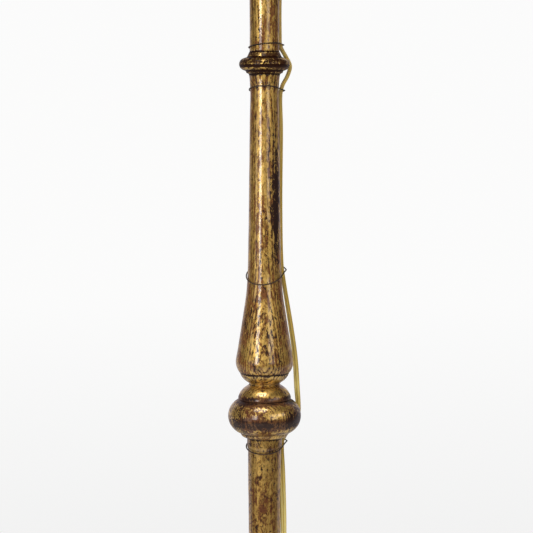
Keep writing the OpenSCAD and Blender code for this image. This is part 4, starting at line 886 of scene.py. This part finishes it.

# The plastic is tinted clear. Colour follows the attribute `over`, how high over its section a point
# lies: the lobes' crests are pale, as the cores showing through and as painted highlight, and their
# edges and the furrow are dark as painted shade. A fine twist runs down each lobe, and `along` says
# how far down the lead a point lies.
gold_flex, t, skin = new_finish("gold_flex")
over = attribute(t, "over")
twist = maths(t, "SINE", total(t, (attribute(t, "along"), 2900.0), (over, 9.0)))
haze = noise(t, object_place(t), 90, 4, 0.6)
tone = total(t, (over, 1.0), (twist, 0.05), (haze, 0.35), start=-0.175)
flex_colours = [(0.05, (0.46, 0.28, 0.03)), (0.45, (0.95, 0.70, 0.14)), (0.9, (0.98, 0.86, 0.34))]
wire(t, skin, {"Base Color": ramp(t, tone, flex_colours), "Roughness": 0.3, "Transmission Weight": 0.3,
               "Coat Weight": 0.5, "Coat Roughness": 0.12, "Normal": bump(t, twist, 0.06, 0.2 * mm)})

lead_way = length_along(lead_line)[:, None] * mm
off_middle = np.abs(lead_section[:, 0])
# It is zero in the furrow and lower at the lobes' outer edges, which darkens them as painted shade.
height_over = np.abs(lead_section[:, 1]) / lobe * (1 - 0.25 * (off_middle > core + 0.9)) * (off_middle >= 0.1)
lead_marks = {"along": lead_way + 0 * height_over, "over": height_over + 0 * lead_way}
lead = shaped("gold_lead", swept(lead_line, lead_wide, lead_section), gold_flex,
              ["cord_run", "cord_coil"], marks=lead_marks)

# ---- plug ----
# A moulded two-blade plug: a ribbed tapering tail for strain relief, a rounded flat body to grip,
# and two brass blades. The blades are the model's own.
brown_rubber = moulded("brown_rubber", (0.050, 0.028, 0.018), (0.035, 0.020, 0.013), (0.075, 0.045, 0.03),
                       0.5, 0.1)
tail_h, shoulder_h, face_h, plug_h, rib_pitch = 26, 7, 2.5, 60, 4.2
s = np.concatenate([np.linspace(0, tail_h, 66), np.linspace(tail_h + 0.1, tail_h + shoulder_h, 16),
                    np.linspace(34, plug_h - face_h, 12), np.linspace(58, plug_h, 6)])[:, None]
in_tail = np.clip(s / tail_h, 0, 1)
swell = np.sin(np.clip((s - tail_h) / shoulder_h, 0, 1) * np.pi / 2)
in_face = np.clip((s - (plug_h - face_h)) / face_h, 0, 1)
close = np.sqrt(1 - (in_face * 0.8) ** 2)
rib = 0.35 * np.clip(np.sin(full_turn * s / rib_pitch), -0.6, 0.8) * (s < tail_h - 1.5) * (s > 1.5)
tail_r = 4.1 + 2.2 * in_tail + rib
half_wide = (tail_r + swell * 6.6) * (0.93 + 0.07 * close)
half_thick = (tail_r + swell * 1.6) * (0.9 + 0.1 * close)


def squared(wave, power):
    """A sine or cosine raised to a power with its sign kept, which squares a round section."""
    return np.sign(wave) * np.abs(wave) ** power


b = even_angles(48)
flatter = 2 / (2 + 2.2 * swell)
plug_way = np.array([last_way[0], last_way[1], 0]) / np.linalg.norm(last_way[:2])
plug_side = np.array([-plug_way[1], plug_way[0], 0])
wide, thick = squared(np.cos(b), flatter) * half_wide, squared(np.sin(b), flatter) * half_thick
plug_grid = (plug_start + s[..., None] * plug_way + wide[..., None] * plug_side
             + thick[..., None] * np.array([0, 0, 1]))
plug = shaped("plug_moulding", plug_grid * mm, brown_rubber, ["plug_body"])
finish_nodes(old_brass, "plug_blades")

# ---- bushing and ties ----
# A brown rubber bushing, tapered and ribbed, takes the strain where the lead leaves the cup. Seven
# ties of thin iron wire hold the lead to the column, each twisted off behind it.
outlet_side, outlet_lean, outlet_z = math.radians(22), math.radians(30), 1282
outlet_out = np.array([math.cos(outlet_side), math.sin(outlet_side), 0])
outlet_across = np.array([-outlet_out[1], outlet_out[0], 0])
outlet_up = np.array([0, 0, math.cos(outlet_lean)]) - outlet_out * math.sin(outlet_lean)
outlet = 25 * outlet_out + (0, 0, outlet_z)
bushing_l, taper_l, ring_pitch = 31, 10.3, 3.2
s = np.linspace(0, bushing_l, 94)
ringed = (np.sin(full_turn * s / ring_pitch) > 0.1) * (s > 2.5) * (s < 17)
girth = 4 + 0.3 * np.clip(s / taper_l, 0, 1) - 0.252 * ringed
bushing_grid = swept(outlet + s[:, None] * outlet_up, outlet_across, round_section(1, 32), girth)
shaped("bushing", bushing_grid, brown_rubber, ["cord_bushing"])

# Inside, the lead bends over into the pipe and goes up to the lampholder.
inner_sides, holder_z = 14, 1397
inner = smooth_line([outlet + 0.5 * outlet_up, outlet + 15 * outlet_up, outlet + 32 * outlet_up,
                     5.4 * outlet_out + (0, 0, z_top - 17.2), 1.6 * outlet_out + (0, 0, z_top - 12.5),
                     (0, 0, z_top - 6), (0, 0, z_top + 20), (0, 0, holder_z)], 6)
inner_grid = swept(inner, outlet_across, round_section(1.95, inner_sides))
inner_marks = {"over": np.full(inner_grid.shape[:2], 0.5),
               "along": np.repeat(inner[:, 2:] * mm, inner_sides, 1)}
shaped("lead_inside", inner_grid, gold_flex, ["inner_lead"], marks=inner_marks)

tie_iron = moulded("tie_iron", (0.050, 0.030, 0.018), (0.022, 0.014, 0.010), (0.11, 0.055, 0.026), 0.6, 0.0,
                   fleck=800, relief=0.5, metal=0.3)
tie_r, tie_gap, twist_r, twist_turns, twist_h = 0.7, 0.15, 0.6, 3.5, 11


def surface_at(outline, low, high):
    """The larger of an outline's distances from the axis at two heights over its foot."""
    line = np.asarray(outline)
    return np.interp([low, high], line[:, 1], line[:, 0]).max()


def wire_tie(foot, outline, height, tilt, high_side, lead_out, lead_side):
    """One tie as three grids: a closed loop round the column that goes in straight lines over the
    lead's corners, and the two ends twisted round each other and pressed down at the back. tilt is
    how much higher than its middle the loop is at the side high_side, and the lead lies there
    lead_out from the axis, at the side lead_side."""
    column_r = surface_at(outline, height - tilt, height + tilt) + tie_r + tie_gap
    d = np.linspace(180, -180, 97)[:-1]
    y, x = lead_w / 2 + 2 * tie_gap, lead_out + lead_t / 2 + tie_r + tie_gap
    corner, reach = math.atan2(y, x), math.acos(column_r / math.hypot(x, y))
    off = np.radians(np.abs(d))
    beside = np.where(off < corner + reach, column_r / np.cos(corner + reach - off), column_r)
    r = np.where(off < corner, x / np.cos(off), beside)
    b, high = np.radians(lead_side + d), math.radians(high_side)
    loop = polar(r, b, foot + height + tilt * np.cos(b - high))
    grids = [swept(np.vstack([loop, loop[:1]]), (0, 0, 1), round_section(tie_r, 8))]
    side = math.radians(lead_side + 75)
    s = np.linspace(0, 1, 60)[:, None]
    middle = polar(column_r + 1.1 - 0.5 * s, side + 0.02,
                   foot + height + tilt * math.cos(side - high) + 0.5 - twist_h * s)
    out, along = np.array([math.cos(side), math.sin(side), 0]), np.array([-math.sin(side), math.cos(side), 0])
    for start in (0, math.pi):
        b = full_turn * twist_turns * s + start
        wound = middle + (twist_r + 0.02) * (np.cos(b) * out + np.sin(b) * along)
        grids.append(swept(wound, (0.3, 0.2, 1.0), round_section(twist_r, 8)))
    return grids


tie_grids = []
for place in [(z_upper, upper_line, 96, 2, 200, 22.2, 26), (z_upper, upper_line, 6.5, 2.6, 314, 19.8, 27),
              (z_vase, vase_line, vase_h - 16.5, 4, 270, 20.2, 22),
              (z_vase, vase_line, vase_h / 3, 10, 78, 22.2, 21.5),
              (z_lower, lower_line, lower_h - 10.4, 6, 82, 25, 31),
              (z_lower, lower_line, 140, 3, 250, 20.2, 22), (z_lower, lower_line, 52, 3, 120, 21.5, 27)]:
    tie_grids += wire_tie(*place)
shaped("iron_ties", tie_grids, tie_iron, ["wire_ties"])

# ---- coil tie ----
# A strap of brown rubber, closed round all the turns at the front of the coil.
inner_r, outer_r = coil_r - coil_pitch * coil_turns - lead_t, coil_r + lead_t
strap_low, strap_high = 0.55, coil_z + layer_pitch + lead_w / 2 + 0.8
corner, strap_half_w, strap_half_t = 2.0, 4, 0.5
right, left, bottom, top = outer_r - corner, inner_r + corner, strap_low + corner, strap_high - corner
corners = [((right, bottom), -90), ((right, top), 0), ((left, top), 90), ((left, bottom), 180)]
strap = np.vstack([arc_line(middle, corner, start, start + 90, 6) for middle, start in corners])
strap = even_line(np.vstack([strap, strap[:1]]), 1.0)
strap_line = np.column_stack([np.full(len(strap), coil_x), coil_y - strap[:, 0], strap[:, 1]])
b = even_angles(16)
section = np.column_stack([strap_half_w * squared(np.cos(b), 0.4), strap_half_t * squared(np.sin(b), 0.6)])
shaped("coil_strap", swept(strap_line, (1, 0, 0), section), brown_rubber, ["coil_tie"])
